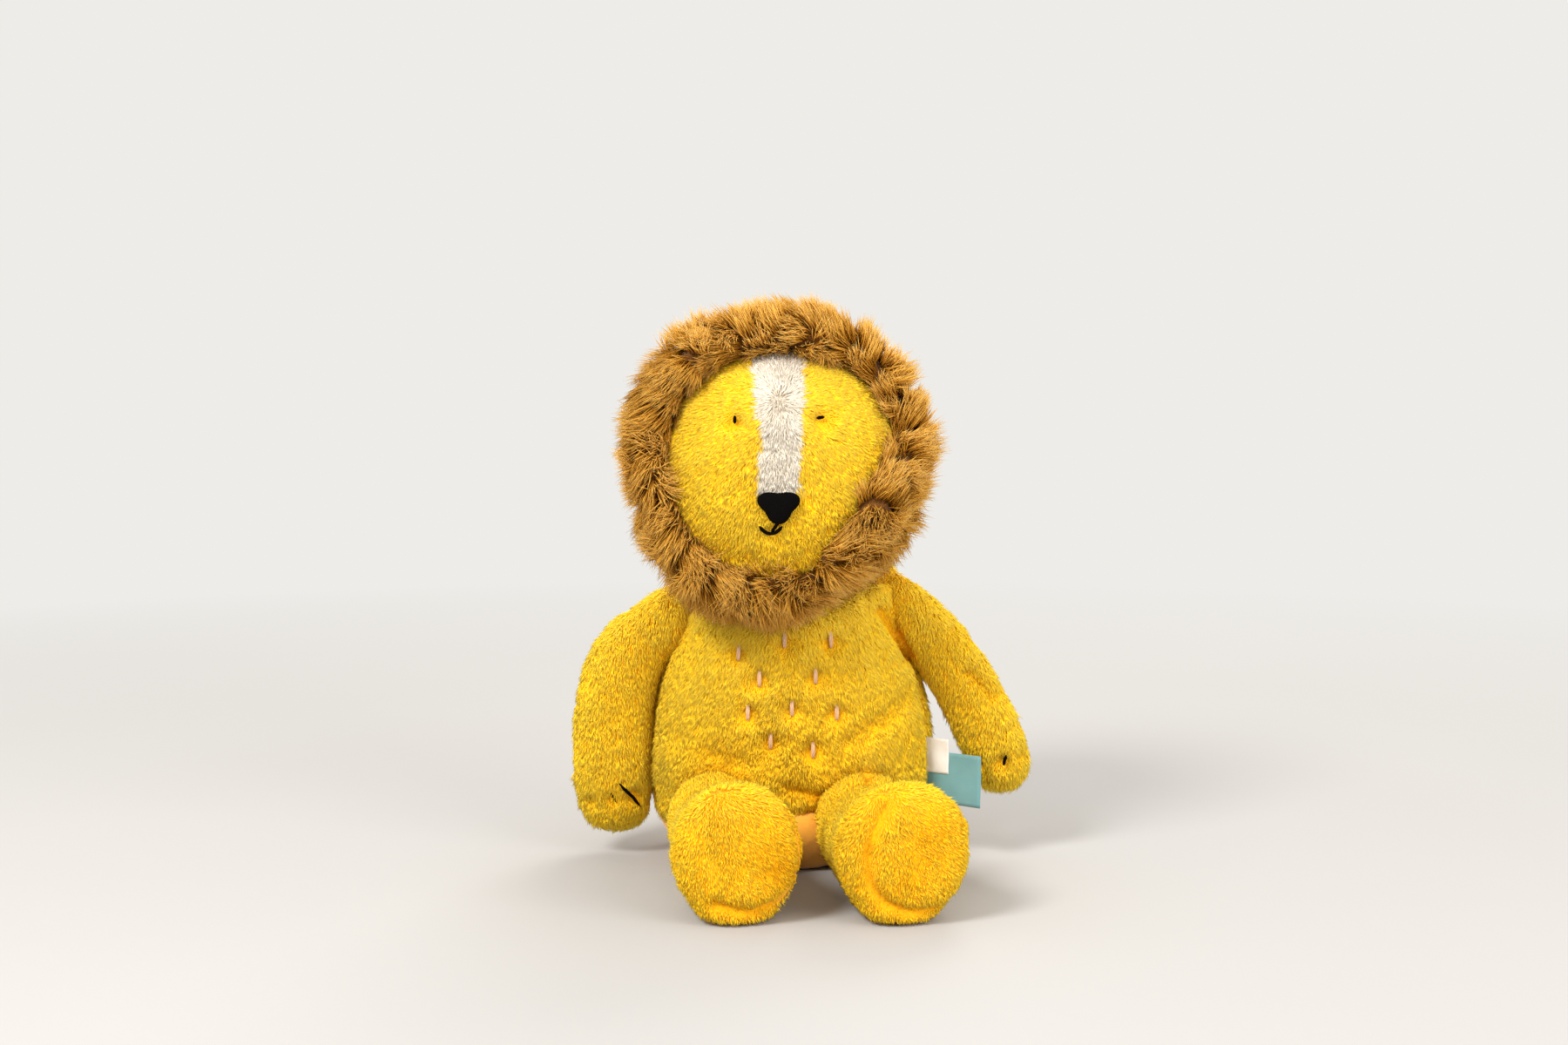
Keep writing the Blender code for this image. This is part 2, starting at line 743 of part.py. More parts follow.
def nose_outline(middle_x, middle_z):
    """A triangle on its tip, with rounded corners."""
    wide, high = NOSE_WIDTH / 2, NOSE_HEIGHT / 2
    points = []
    for i in range(NOSE_POINTS):
        turn = 2 * math.pi * i / NOSE_POINTS + math.pi / 2
        reach = 1 + NOSE_CORNER_SHARE * math.cos(3 * (turn + math.pi / 2))
        x, z = wide * math.cos(turn) * reach, high * math.sin(turn) * reach
        points.append((middle_x + x, middle_z + z))
    return points


def mouth_outline(middle_x, middle_z):
    """A smile with a short line up to the nose, as one band."""
    half, thick = MOUTH_WIDTH / 2, THREAD / 2
    steps = [2 * i / MOUTH_POINTS - 1 for i in range(MOUTH_POINTS + 1)]
    curve = [(half * s, MOUTH_DEPTH * (s * s - 1)) for s in steps]
    below = [(x, z - thick) for x, z in curve]
    above = [(x, z + thick) for x, z in reversed(curve)]
    stem_top = MOUTH_DROP - NOSE_DROP - NOSE_HEIGHT / 2 - THREAD
    stem = [(thick - MOUTH_SIDE, stem_top), (-thick - MOUTH_SIDE, stem_top)]
    right_side = [p for p in above if p[0] > thick]
    left_side = [p for p in above if p[0] < -thick]
    outline = below + right_side + stem + left_side
    return [(middle_x + x, middle_z + z) for x, z in outline]


def build_face(outer):
    """The nose, mouth and eyes, worked in thread on the face."""
    near = grown(outer, GAP)
    centre = HEAD_CENTRE
    nose_top = grown(outer, NOSE_THICK)
    mouth_top = grown(outer, THREAD)
    deep = 2 * HEAD_DEPTH
    nose_line = nose_outline(centre.x, centre.z - NOSE_DROP)
    mouth_line = mouth_outline(centre.x + MOUTH_SIDE, centre.z - MOUTH_DROP)
    nose = rolled(flat_outline("nose_shape", nose_line, deep))
    mouth = rolled(flat_outline("mouth_shape", mouth_line, deep))
    front = block("face_front", (-REACH, -REACH, 0), (REACH, centre.y, TOP))
    piece("nose", nose, black_thread, head, cuts=(near,), keeps=(nose_top, front))
    piece("mouth", mouth, black_thread, head, cuts=(near,), keeps=(mouth_top, front))
    for name, side, lean in (("eye_left", -1, 0), ("eye_right", 1, math.pi / 2)):
        lean += HEAD_ROLL
        place = Vector((side * EYE_SPREAD / 2, 0, EYE_RAISE + side * EYE_TILT))
        place = centre + Matrix.Rotation(HEAD_ROLL, 3, "Y") @ place
        stitch(name, outer, place.x, place.z, EYE_LENGTH, THREAD, lean, black_thread, head, near)


def build_neck():
    """A round fabric gusset between the body and the head, shaped like a watch glass."""
    disc = column("gusset_disc", NECK_CENTRE, GUSSET_RADIUS, 0, HEAD_CENTRE.z)
    bowl = ball("gusset_bowl", HEAD_CENTRE, GUSSET_OUTER, HEAD_SEGMENTS, Z_AXIS)
    hollow = ball("gusset_hollow", HEAD_CENTRE, GUSSET_INNER, HEAD_SEGMENTS, X_AXIS)
    piece("neck_gusset", disc, yellow, neck, cuts=(hollow,), keeps=(bowl,))


# Arms, legs and tail


def build_arm(side, torso):
    name = ("left", "right")[side]
    shares = (LEFT_ARM_SHARES, RIGHT_ARM_SHARES)[side]
    carrier = arms[side]
    root, _ = shoulders[side]
    clear = grown(torso, GAP)
    outer = helper(f"{name}_arm_outside", shown_mesh(arm_form(f"{name}_arm", side, shares, LIMB_POINTS)))
    boolean(outer, "DIFFERENCE", clear)
    boolean(outer, "UNION", root)
    lining = arm_form(f"{name}_arm_lining", side, shares, LIMB_LINING_POINTS)
    core = grown(lining, -SKIN)
    inside = grown(lining, -SKIN - GAP)
    # The core stays a skin's width inside the cut side too
    near = grown(torso, SKIN)
    seam = SHOULDERS[side].y
    half = GAP / 2
    front = block(f"{name}_arm_front", (-REACH, -REACH, 0), (REACH, seam - half, TOP))
    back = block(f"{name}_arm_back", (-REACH, seam + half, 0), (REACH, REACH, TOP))
    hollow = helper(f"{name}_arm_hollow", shown_mesh(core))
    boolean(hollow, "DIFFERENCE", near)
    piece(f"{name}_arm_front_panel", outer, yellow, carrier, cuts=(hollow,), keeps=(front,))
    piece(f"{name}_arm_back_panel", outer, yellow, carrier, cuts=(hollow,), keeps=(back,))
    further = grown(torso, SKIN + GAP)
    piece(f"{name}_arm_filling", inside, stuffing, carrier, cuts=(further,))
    build_claws(side, name, shares, carrier)


def build_claws(side, name, shares, carrier):
    form = bpy.data.objects[f"{name}_arm"]
    cutter = grown(form, GAP)
    line = arm_line(side, shares)
    near, end = line[-3], line[-1]
    way = (end - near).normalized()
    across = Vector((-way.z, 0, way.x)).normalized()
    lean = math.atan2(way.x, way.z)
    middle = end - way * (CLAW_LENGTH * CLAW_UP_SHARE)
    for i, share in enumerate(CLAW_SHARES):
        place = middle + across * (share * ARM_THICK)
        args = (CLAW_LENGTH, THREAD, lean, black_thread, carrier, cutter)
        stitch(f"{name}_claw_{i + 1}", form, place.x, place.z, *args)


def build_leg(side):
    name = ("left", "right")[side]
    carrier = legs[side]
    root, _ = hips[side]
    way = leg_way(side)
    outer = joined(f"{name}_leg_outside", leg_form(f"{name}_leg", side, LIMB_POINTS), root)
    lining = leg_form(f"{name}_leg_lining", side, LIMB_LINING_POINTS)
    core = grown(lining, -SKIN)
    inside = grown(lining, -SKIN - GAP)
    sole_at = LEG_LENGTH - SOLE_THICK
    turn = Matrix.Rotation(math.atan2(way.x, -way.y), 4, "Z")

    def across_leg(label, near, far):
        made = block(label, (-REACH, -far, 0), (REACH, -near, REACH))
        made.data.transform(Matrix.Translation(HIP_CENTRES[side] * Vector((1, 1, 0))) @ turn)
        return made

    behind = across_leg(f"{name}_leg_side", -REACH, sole_at)
    ahead = across_leg(f"{name}_sole_side", sole_at + GAP, REACH)
    piece(f"{name}_leg_skin", outer, yellow, carrier, cuts=(core,), keeps=(behind,))
    piece(f"{name}_sole_panel", outer, yellow, carrier, keeps=(ahead,))
    piece(f"{name}_leg_filling", inside, stuffing, carrier, keeps=(behind,))


def build_tail():
    tube = joined("tail_outside", tail_form("tail", TAIL_THICK, LIMB_LINING_POINTS), tail_joint[0])
    tuft = tuft_form("tuft", LIMB_POINTS)
    room = grown(tail_form("tail_room", TAIL_THICK, LIMB_LINING_POINTS), GAP)
    piece("tail_tube", tube, yellow, tail, cuts=(floor,))
    piece("tail_tuft", tuft, tan, tail, cuts=(room, floor))


torso = build_body()
build_chest_stitches(torso)
build_labels(torso)
head_outer, head_whole = build_head()
build_mane(head_outer)
build_face(head_outer)
build_neck()
for each in (0, 1):
    build_arm(each, torso)
    build_leg(each)
build_tail()
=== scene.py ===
# %% [markdown]
# # A seated plush lion
# The real toy is a set of stuffed bags of yellow plush: a body, a head, two arms and two legs. A strip of
# long tan pile is sewn round its face, and thin thread makes the eyes, the nose, the mouth, the claws and
# ten stitches on the chest. Each bag here has two layers, as plush has: a cloth skin, and a pile that
# grows out of it. The joints come from the packed model, so every piece rides on one of its bodies.
# Lengths are in metres, and the toy looks along -Y.

import json
import math

import bmesh
import bpy
import numpy as np
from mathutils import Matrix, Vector
from mathutils.bvhtree import BVHTree

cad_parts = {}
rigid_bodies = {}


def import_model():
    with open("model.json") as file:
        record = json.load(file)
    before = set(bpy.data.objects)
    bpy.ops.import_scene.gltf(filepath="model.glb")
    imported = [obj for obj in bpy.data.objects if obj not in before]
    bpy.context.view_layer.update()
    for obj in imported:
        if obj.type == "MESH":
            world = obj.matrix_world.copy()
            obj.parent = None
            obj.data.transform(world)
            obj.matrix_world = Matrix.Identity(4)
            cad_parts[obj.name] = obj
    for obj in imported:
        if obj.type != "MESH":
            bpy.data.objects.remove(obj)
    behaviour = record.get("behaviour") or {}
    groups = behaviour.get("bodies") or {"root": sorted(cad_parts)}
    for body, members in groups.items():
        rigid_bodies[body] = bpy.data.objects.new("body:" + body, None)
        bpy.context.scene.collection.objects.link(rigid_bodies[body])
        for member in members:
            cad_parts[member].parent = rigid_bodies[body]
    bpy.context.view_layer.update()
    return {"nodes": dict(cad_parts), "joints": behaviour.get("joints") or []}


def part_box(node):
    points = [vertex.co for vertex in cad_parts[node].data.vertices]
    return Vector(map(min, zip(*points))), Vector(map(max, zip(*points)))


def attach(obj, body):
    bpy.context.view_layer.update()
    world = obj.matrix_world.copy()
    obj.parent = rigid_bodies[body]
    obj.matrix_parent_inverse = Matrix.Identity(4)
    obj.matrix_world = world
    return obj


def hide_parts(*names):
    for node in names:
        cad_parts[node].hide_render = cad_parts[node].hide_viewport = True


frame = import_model()
nodes = frame["nodes"]

# %% [markdown]
# ## Node trees written as Python
# Materials and Geometry Nodes are both trees of boxes and wires. Dragging hundreds of wires by hand hides
# the idea, so one small class makes any node, and another lets a wire be added or multiplied like a
# number: `1 - mask` adds a Math node by itself.


# %% A board of nodes, and wires that can be reckoned with
def pick(sockets, key):
    """The socket of that index or name, and of those that share a name the one in use."""
    if isinstance(key, int):
        return sockets[key]
    return next((s for s in sockets if s.name == key and s.enabled), None) or sockets[key]


def maths(operation, swapped=False):
    """A method that adds a Math node. It is swapped for a wire that stands right of its operator."""

    def reckon(self, other=0.0):
        pair = (other, self) if swapped else (self, other)
        return self.board.node("ShaderNodeMath", {"operation": operation}, dict(enumerate(pair)))

    return reckon


class Wire:
    """An output socket. An operator on it adds a Math node."""

    __add__, __radd__ = maths("ADD"), maths("ADD", True)
    __sub__, __rsub__ = maths("SUBTRACT"), maths("SUBTRACT", True)
    __mul__, __rmul__ = maths("MULTIPLY"), maths("MULTIPLY", True)
    __truediv__, __rtruediv__ = maths("DIVIDE"), maths("DIVIDE", True)
    at_least, at_most, sine = maths("MAXIMUM"), maths("MINIMUM"), maths("SINE")

    def __init__(self, board, socket):
        self.board = board
        self.socket = socket

    def out(self, key):
        return Wire(self.board, pick(self.socket.node.outputs, key))

    def held(self):
        """The wire, kept between 0 and 1."""
        return self.at_least(0.0).at_most(1.0)


class Board:
    """A node tree, and the one method that makes every node in it."""

    def __init__(self, tree):
        self.tree = tree

    def node(self, kind, settings=None, values=None, out=0):
        made = self.tree.nodes.new(kind)
        for name, value in (settings or {}).items():
            if name == "stops":
                self.ramp(made.color_ramp, value)
            else:
                setattr(made, name, value)
        for key, value in (values or {}).items():
            socket = pick(made.inputs, key)
            if isinstance(value, Wire):
                self.tree.links.new(value.socket, socket)
            else:
                socket.default_value = value
        return Wire(self, pick(made.outputs, out)) if made.outputs else made

    def ramp(self, ramp, stops):
        first, *middle, last = stops
        for element, (place, tint) in zip(ramp.elements, (first, last)):
            element.position, element.color = place, (*tint, 1)
        for place, tint in middle:
            ramp.elements.new(place).color = (*tint, 1)

    def vector(self, operation, first, second=None, scale=None):
        values = {0: first}
        if second is not None:
            values[1] = second
        if scale is not None:
            values["Scale"] = scale
        out = "Value" if operation in ("DOT_PRODUCT", "LENGTH") else "Vector"
        return self.node("ShaderNodeVectorMath", {"operation": operation}, values, out)

    def blend(self, share, first, second, kind="MIX"):
        """Mixes two colours."""
        settings = {"data_type": "RGBA", "blend_type": kind}
        return self.node("ShaderNodeMix", settings, {0: share, 6: first, 7: second}, out=2)

    def noise(self, place, scale, detail, out=0):
        values = {"Vector": place, "Scale": scale, "Detail": detail}
        return self.node("ShaderNodeTexNoise", None, values, out)

    def parts(self, vector):
        """The vector's X, Y and Z, as outputs of those names."""
        return self.node("ShaderNodeSeparateXYZ", None, {0: vector})

    def joined(self, x, y, z):
        return self.node("ShaderNodeCombineXYZ", None, {0: x, 1: y, 2: z})


def colour(*screen):
    """The linear colour of three screen values from 0 to 255."""
    shares = [value / 255 for value in screen]
    return tuple(s / 12.92 if s <= 10 / 255 else ((s + 0.055) / 1.055) ** 2.4 for s in shares)


def paint(*screen):
    return (*colour(*screen), 1)


print("a mid yellow is", [round(c, 3) for c in colour(240, 190, 30)])

# %% [markdown]
# ## Camera, light and floor
# The photograph was taken with a normal lens from about 1.3 m, a little above the toy, looking slightly
# down. The light is soft and comes from the upper left, so a large area lamp stands there, with a weak
# one on the other side, and a pale world fills the shadows.

# %% Camera
LOOKS_DOWN = 4.6  # degrees


def shown(name, data):
    """An object in the scene that holds a mesh, a camera or a lamp."""
    obj = bpy.data.objects.new(name, data)
    bpy.context.scene.collection.objects.link(obj)
    return obj


camera = shown("camera", bpy.data.cameras.new("camera"))
camera.data.lens = 51.2
camera.data.sensor_width = 36
camera.location = (-0.0035, -1.34, 0.308)
camera.rotation_euler = (math.radians(90 - LOOKS_DOWN), 0, 0)
bpy.context.scene.camera = camera
bpy.context.scene.view_settings.view_transform = "Standard"
print("camera at", tuple(camera.location))

# %% Lamps and world
TOY_MIDDLE = Vector((0, 0, 0.15))
PALE = paint(238, 236, 232)


def lamp(name, place, size, power):
    data = bpy.data.lights.new(name, "AREA")
    data.shape = "DISK"
    data.size = size
    data.energy = power
    made = shown(name, data)
    made.location = place
    made.rotation_euler = (TOY_MIDDLE - Vector(place)).to_track_quat("-Z", "Y").to_euler()


lamp("key", (-1.15, -1.5, 1.65), 0.8, 54)
lamp("fill", (1.5, -1.6, 0.9), 1.6, 32)
lamp("back", (0.5, 1.7, 1.7), 1.2, 24)

world = bpy.data.worlds.new("pale_room")
bpy.context.scene.world = world
world.use_nodes = True
world.node_tree.nodes.clear()
sky = Board(world.node_tree)
rays = sky.node("ShaderNodeLightPath")
seen = rays.out("Is Camera Ray").at_least(rays.out("Is Glossy Ray")).at_least(rays.out("Is Transmission Ray"))
glow = sky.node("ShaderNodeBackground", None, {"Color": (1, 0.965, 0.92, 1), "Strength": 1.0})
pale = sky.node("ShaderNodeBackground", None, {"Color": PALE, "Strength": 1})
mixed = sky.node("ShaderNodeMixShader", None, {0: seen, 1: glow, 2: pale})
sky.node("ShaderNodeOutputWorld", None, {"Surface": mixed})
print("lamps:", [light.name for light in bpy.data.lights])

# %% Finishes, and the floor's
HAZE_START = 0.45
HAZE_RATE = 0.9
FLOOR_HALF = 6


class Finish(Board):
    """A material on the Principled shader. Constants are set on its own sockets."""

    def __init__(self, name, **constants):
        self.material = bpy.data.materials.new(name)
        self.material.use_nodes = True
        self.material.node_tree.nodes.clear()
        super().__init__(self.material.node_tree)
        values = {key.replace("_", " "): value for key, value in constants.items()}
        self.shader = self.node("ShaderNodeBsdfPrincipled", None, values)
        self.surface = self.node("ShaderNodeOutputMaterial").inputs["Surface"]
        self.tree.links.new(self.shader.socket, self.surface)

    def place(self):
        """Where on the toy a point is."""
        return self.node("ShaderNodeTexCoord").out("Object")

    def feed(self, name, wire):
        self.tree.links.new(wire.socket, self.shader.socket.node.inputs[name])

    def bump(self, height, strength, distance):
        values = {"Height": height, "Strength": strength, "Distance": distance}
        self.feed("Normal", self.node("ShaderNodeBump", None, values))


def mesh_of(name, bm):
    """A mesh made from a bmesh, which is freed."""
    mesh = bpy.data.meshes.new(name)
    bm.to_mesh(mesh)
    bm.free()
    return mesh


floor_paint = Finish("floor_paint", Roughness=0.9, Specular_IOR_Level=0.1)
place = floor_paint.place()
grain = floor_paint.noise(place, 2.5, 2.0)
floor_paint.feed("Base Color", floor_paint.blend(grain, paint(174, 172, 169), paint(178, 176, 173)))
away = ((floor_paint.vector("LENGTH", place) - HAZE_START) * HAZE_RATE).held()
haze = floor_paint.node("ShaderNodeEmission", None, {"Color": PALE, "Strength": 1.0})
faded = floor_paint.node("ShaderNodeMixShader", None, {0: away, 1: floor_paint.shader, 2: haze})
floor_paint.tree.links.new(faded.socket, floor_paint.surface)
bm = bmesh.new()
bmesh.ops.create_grid(bm, x_segments=1, y_segments=1, size=FLOOR_HALF)
floor = shown("floor", mesh_of("floor", bm))
floor.data.materials.append(floor_paint.material)
print("the floor is", 2 * FLOOR_HALF, "m wide")

# %% [markdown]
# ## Cloth skins
# A toy maker sews flat panels into a bag and stuffs it. The packed model's solids already have each bag's
# size and place, so a skin starts as one closed surface round a body's solids: a convex hull where the
# bag bulges everywhere, or a voxel remesh where it bends. It is then pulled in by the height of the pile,
# blown up as cloth, and pulled in again at its seams and stitches.

# %% Closed surfaces round the packed solids
MERGED = 0.00001
PILE = 0.0018
FLOOR_ROOM = 0.0014
FLOOR_FADE = 0.012


def as_mesh(obj):
    """The object's mesh with its modifiers applied."""
    bpy.context.view_layer.update()
    graph = bpy.context.evaluated_depsgraph_get()
    return bpy.data.meshes.new_from_object(obj.evaluated_get(graph), depsgraph=graph)


def applied(obj):
    """Puts the modified mesh in the object, and drops the modifiers."""
    mesh = as_mesh(obj)
    obj.modifiers.clear()
    obj.data = mesh
    return mesh


def largest_island(bm):
    bm.verts.ensure_lookup_table()
    left, islands = set(bm.verts), []
    while left:
        reached, edge = set(), [next(iter(left))]
        while edge:
            vert = edge.pop()
            if vert in left:
                left.discard(vert)
                reached.add(vert)
                edge.extend(e.other_vert(vert) for e in vert.link_edges)
        islands.append(reached)
    islands.sort(key=len)
    bmesh.ops.delete(bm, geom=[v for island in islands[:-1] for v in island], context="VERTS")


def wrap(name, names, voxel, convex=False, above=-1.0):
    """One smooth closed surface round the named solids, or round what of them is above a height."""
    bm = bmesh.new()
    for node in names:
        bm.from_mesh(nodes[node].data)
    if convex:
        places = [v.co.copy() for v in bm.verts if v.co.z > above]
        bm.clear()
        for place in places:
            bm.verts.new(place)
    bmesh.ops.remove_doubles(bm, verts=bm.verts, dist=MERGED)
    if convex:
        made = bmesh.ops.convex_hull(bm, input=bm.verts)
        spare = [g for g in made["geom_interior"] + made["geom_unused"] if isinstance(g, bmesh.types.BMVert)]
        bmesh.ops.delete(bm, geom=list(set(spare)), context="VERTS")
    obj = shown(name, mesh_of(name, bm))
    remesh = obj.modifiers.new("remesh", "REMESH")
    remesh.mode = "VOXEL"
    remesh.voxel_size = voxel
    made = applied(obj)
    bm = bmesh.new()
    bm.from_mesh(made)
    largest_island(bm)
    axes = dict.fromkeys(("use_axis_x", "use_axis_y", "use_axis_z"), True)
    for _ in range(5):
        bmesh.ops.smooth_vert(bm, verts=bm.verts, factor=0.5, **axes)
    bmesh.ops.recalc_face_normals(bm, faces=bm.faces)
    bm.to_mesh(made)
    bm.free()
    return obj


def spots(mesh):
    """The vertices' places and normals as arrays."""
    place = np.zeros(len(mesh.vertices) * 3)
    mesh.vertices.foreach_get("co", place)
    normal = np.zeros(len(mesh.vertices) * 3)
    mesh.vertex_normals.foreach_get("vector", normal)
    return place.reshape(-1, 3), normal.reshape(-1, 3)


def move_to(mesh, place):
    mesh.vertices.foreach_set("co", np.ascontiguousarray(place, float).ravel())
    mesh.update()


def unit(values):
    """The values, kept between 0 and 1."""
    return np.clip(values, 0, 1)


def ease(share):
    """A share that starts and ends gently."""
    return share * share * (3 - 2 * share)


def bell(distance, width, power=2):
    """1 at no distance, and nearly 0 past the width."""
    return np.exp(-((distance / width) ** power))


def pull_in(obj, depth):
    """Moves the surface in by the height of its pile, but keeps it down where it sits."""
    place, normal = spots(obj.data)
    moved = place - normal * depth
    low = unit(1 - place[:, 2] / FLOOR_FADE)
    moved[:, 2] = moved[:, 2] * (1 - low) + FLOOR_ROOM * low
    move_to(obj.data, moved)


ARMS = ("left_arm", "right_arm")
LEGS = ("left_leg", "right_leg")
LIMBS = ARMS + LEGS
TORSO_NODES = ["torso_front_panel", "torso_back_panel", "torso_filling", "bean_pouch"]
FACE_NODES = ["face_left_panel", "face_right_panel", "face_stripe", "head_filling"]
MANE_NODES = ["mane_band", "mane_back_panel", "head_back_panel"]


def side_of(limb):
    return limb.split("_")[0]


limb_nodes = {arm: [f"{arm}_{part}" for part in ("front_panel", "back_panel", "filling")] for arm in ARMS}
for leg in LEGS:
    limb_nodes[leg] = [f"{leg}_skin", f"{side_of(leg)}_sole_panel", f"{leg}_filling"]

torso = wrap("torso_skin", TORSO_NODES + ["seat_panel"], 0.005, convex=True)
face = wrap("face_skin", FACE_NODES + ["head_back_panel"], 0.005, convex=True, above=0.165)
nape = wrap("head_back_skin", MANE_NODES, 0.006, convex=True, above=0.15)
limbs = {limb: wrap(f"{limb}_cloth", limb_nodes[limb], 0.0045) for limb in LIMBS}
tail = wrap("tail_skin", ["tail_tube"], 0.003)
tuft = wrap("tail_tuft_skin", ["tail_tuft"], 0.003, convex=True)
depths = [(torso, PILE / 2), (face, PILE), (nape, 0.0095), (tail, 0.003), (tuft, 0.0075)]
depths += [(limbs[limb], PILE / 2 if limb in ARMS else 0.0) for limb in LIMBS]
for skin, depth in depths:
    pull_in(skin, depth)
    print(skin.name, len(skin.data.vertices), "vertices", [round(1000 * d) for d in skin.dimensions], "mm")

# %% [markdown]
# ## Small corrections from the photograph
# The packed solids are plain, so a few places are moved to where the photograph has them: the body stands
# in a little at its foot, the shoulders are higher, the right one most, and the nape reaches forward
# under the mane at the lower right.

# %% Shoulders, foot, nape and leg
SHOULDER_Z = 0.125
FOOT_TOP, FOOT_FADE, FOOT_IN = 0.027, 0.006, 0.006
TORSO_RISE = 0.014
NAPE_FRONT, NAPE_LOWER_FRONT = 0.052, 0.022
NAPE_LOW_Z = 0.236
FULLER = 0.003
ARM_SHAPES = {"left_arm": (1, 0.008), "right_arm": (-1, 0.022)}  # which way the body is, and the rise

place, normal = spots(torso.data)
foot = unit((FOOT_TOP - place[:, 2]) / FOOT_FADE)[:, None] * np.array((1, 1, 0))
place -= place / np.linalg.norm(place[:, :2], axis=1)[:, None] * foot * FOOT_IN
slope = np.array((0.5, 0, 0.85))
share = unit((place[:, 2] - SHOULDER_Z) / 0.035) * unit(place[:, 0] / 0.05) * unit(normal @ slope)
move_to(torso.data, place + share[:, None] * slope * TORSO_RISE)

place, _ = spots(nape.data)
low = unit((NAPE_LOW_Z - place[:, 2]) / 0.030) * unit((place[:, 0] + 0.02) / 0.03)
place[:, 1] = np.maximum(place[:, 1], -NAPE_FRONT - NAPE_LOWER_FRONT * low)
move_to(nape.data, place)

for arm, (inwards, rise) in ARM_SHAPES.items():
    place, normal = spots(limbs[arm].data)
    high = unit((place[:, 2] - SHOULDER_Z) / 0.045)
    slope = np.array((0.6 * inwards, 0, 0.8))
    share = ease(high) * unit(0.15 + normal @ slope)
    place += share[:, None] * slope * rise
    inside = unit(normal[:, 0] * inwards)
    if arm == "right_arm":
        inside *= unit(place[:, 2] / 0.03 - 3.2)
    move_to(limbs[arm].data, place + normal * inside[:, None] * FULLER)

place, normal = spots(limbs["right_leg"].data)
share = unit(normal[:, 0]) * unit(place[:, 2] / 0.04 - 0.3) * (place[:, 1] < -0.10)
move_to(limbs["right_leg"].data, place + normal * share[:, None] * FULLER)
print("the right shoulder rises by", 1000 * ARM_SHAPES["right_arm"][1], "mm")

# %% [markdown]
# ## Blown up as cloth
# Stuffing pushes a bag out everywhere but at its seams and at the stitches that go right through it. A
# short cloth simulation with pressure does just that: the held vertices stay, and the cloth between them
# rises. Gravity is off, because the stuffing carries the toy.

# %% Where the cloth is held
HEAD = Vector((-0.006, -0.022, 0.2379))
SEAM_Y = -0.015
ARM_SEAM_Y = -0.005
SOLE_SEAM_REACH = 0.1225
ON_FLOOR = 0.006
CHEST_STITCHES = [f"chest_stitch_{i:02}" for i in range(1, 11)]
EYE_SHIFT = Vector((-0.0018, 0, 0))
SHOWN_CLAWS = (("left_arm", 3), ("right_arm", 2))


def middle(node):
    low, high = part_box(node)
    return (low + high) / 2


chest = [middle(node) for node in CHEST_STITCHES]
eyes = [middle(node) + EYE_SHIFT for node in ("eye_left", "eye_right")]
claws = {arm: [middle(f"{side_of(arm)}_claw_{i}") for i in (1, 2, 3)] for arm in ARMS}
hips = {leg: Vector(j["pos_m"]) for j in frame["joints"] for leg in LEGS if j["child"] == leg}
ways = {}
for leg in LEGS:
    way = (middle(f"{side_of(leg)}_sole_panel") - hips[leg]) * Vector((1, 1, 0))
    ways[leg] = way.normalized()


def down_leg(leg, place):
    """How far along the leg each place is, from its hip."""
    return (place - np.array(hips[leg])) @ np.array(ways[leg])


def held_at(obj):
    """The vertices that a seam or a stitch holds."""
    place, _ = spots(obj.data)
    held = place[:, 2] < ON_FLOOR
    stitches, radius = [], 0.007
    if obj is torso:
        held |= np.abs(place[:, 1] - SEAM_Y) < 0.003
        stitches, radius = chest, 0.0075
    if obj is face:
        held |= place[:, 1] > HEAD.y - 0.045
        stitches = eyes
    for arm in ARMS:
        if obj is limbs[arm]:
            held |= np.abs(place[:, 1] - ARM_SEAM_Y) < 0.0026
            stitches = claws[arm]
    for leg in LEGS:
        if obj is limbs[leg]:
            held |= np.abs(down_leg(leg, place) - SOLE_SEAM_REACH) < 0.0028
    for spot in stitches:
        held |= np.linalg.norm(place - np.array(spot), axis=1) < radius
    return [int(i) for i in np.nonzero(held)[0]]


print("the torso is held at", len(held_at(torso)), "of its vertices")

# %% Run the cloth
FRAMES = 14
LARGEST_RISE = 0.003
CLOTH = {
    "quality": 5, "mass": 0.2, "tension_stiffness": 12, "compression_stiffness": 12, "bending_stiffness": 0.4,
    "vertex_group_mass": "held", "use_pressure": True, "uniform_pressure_force": 4,
}


def blow_up(skins):
    """Runs the cloth of all the skins together, and keeps how far each point rose, up to the cap."""
    for skin in skins:
        skin.vertex_groups.new(name="held").add(held_at(skin), 1, "REPLACE")
        cloth = skin.modifiers.new("stuffed", "CLOTH")
        for name, value in CLOTH.items():
            setattr(cloth.settings, name, value)
        cloth.settings.effector_weights.gravity = 0
        cloth.point_cache.frame_start = 1
        cloth.point_cache.frame_end = FRAMES
    for step in range(1, FRAMES + 1):
        bpy.context.scene.frame_set(step)
    for skin in skins:
        before, _ = spots(skin.data)
        after, _ = spots(as_mesh(skin))
        moved = after - before
        size = np.linalg.norm(moved, axis=1, keepdims=True)
        moved *= np.minimum(1, LARGEST_RISE / np.maximum(size, 1e-9))
        skin.modifiers.clear()
        skin.vertex_groups.clear()
        move_to(skin.data, before + moved)
        print(skin.name, "rose by up to", round(float(size.max()) * 1000, 2), "mm")
    bpy.context.scene.frame_set(1)


def smooth(obj):
    """One level of subdivision, applied."""
    finer = obj.modifiers.new("finer", "SUBSURF")
    finer.levels = finer.render_levels = 1
    applied(obj).shade_smooth()


blow_up([torso, face, *limbs.values()])
for skin in (torso, face, *limbs.values()):
    smooth(skin)
print("the torso's skin now has", len(torso.data.vertices), "vertices")

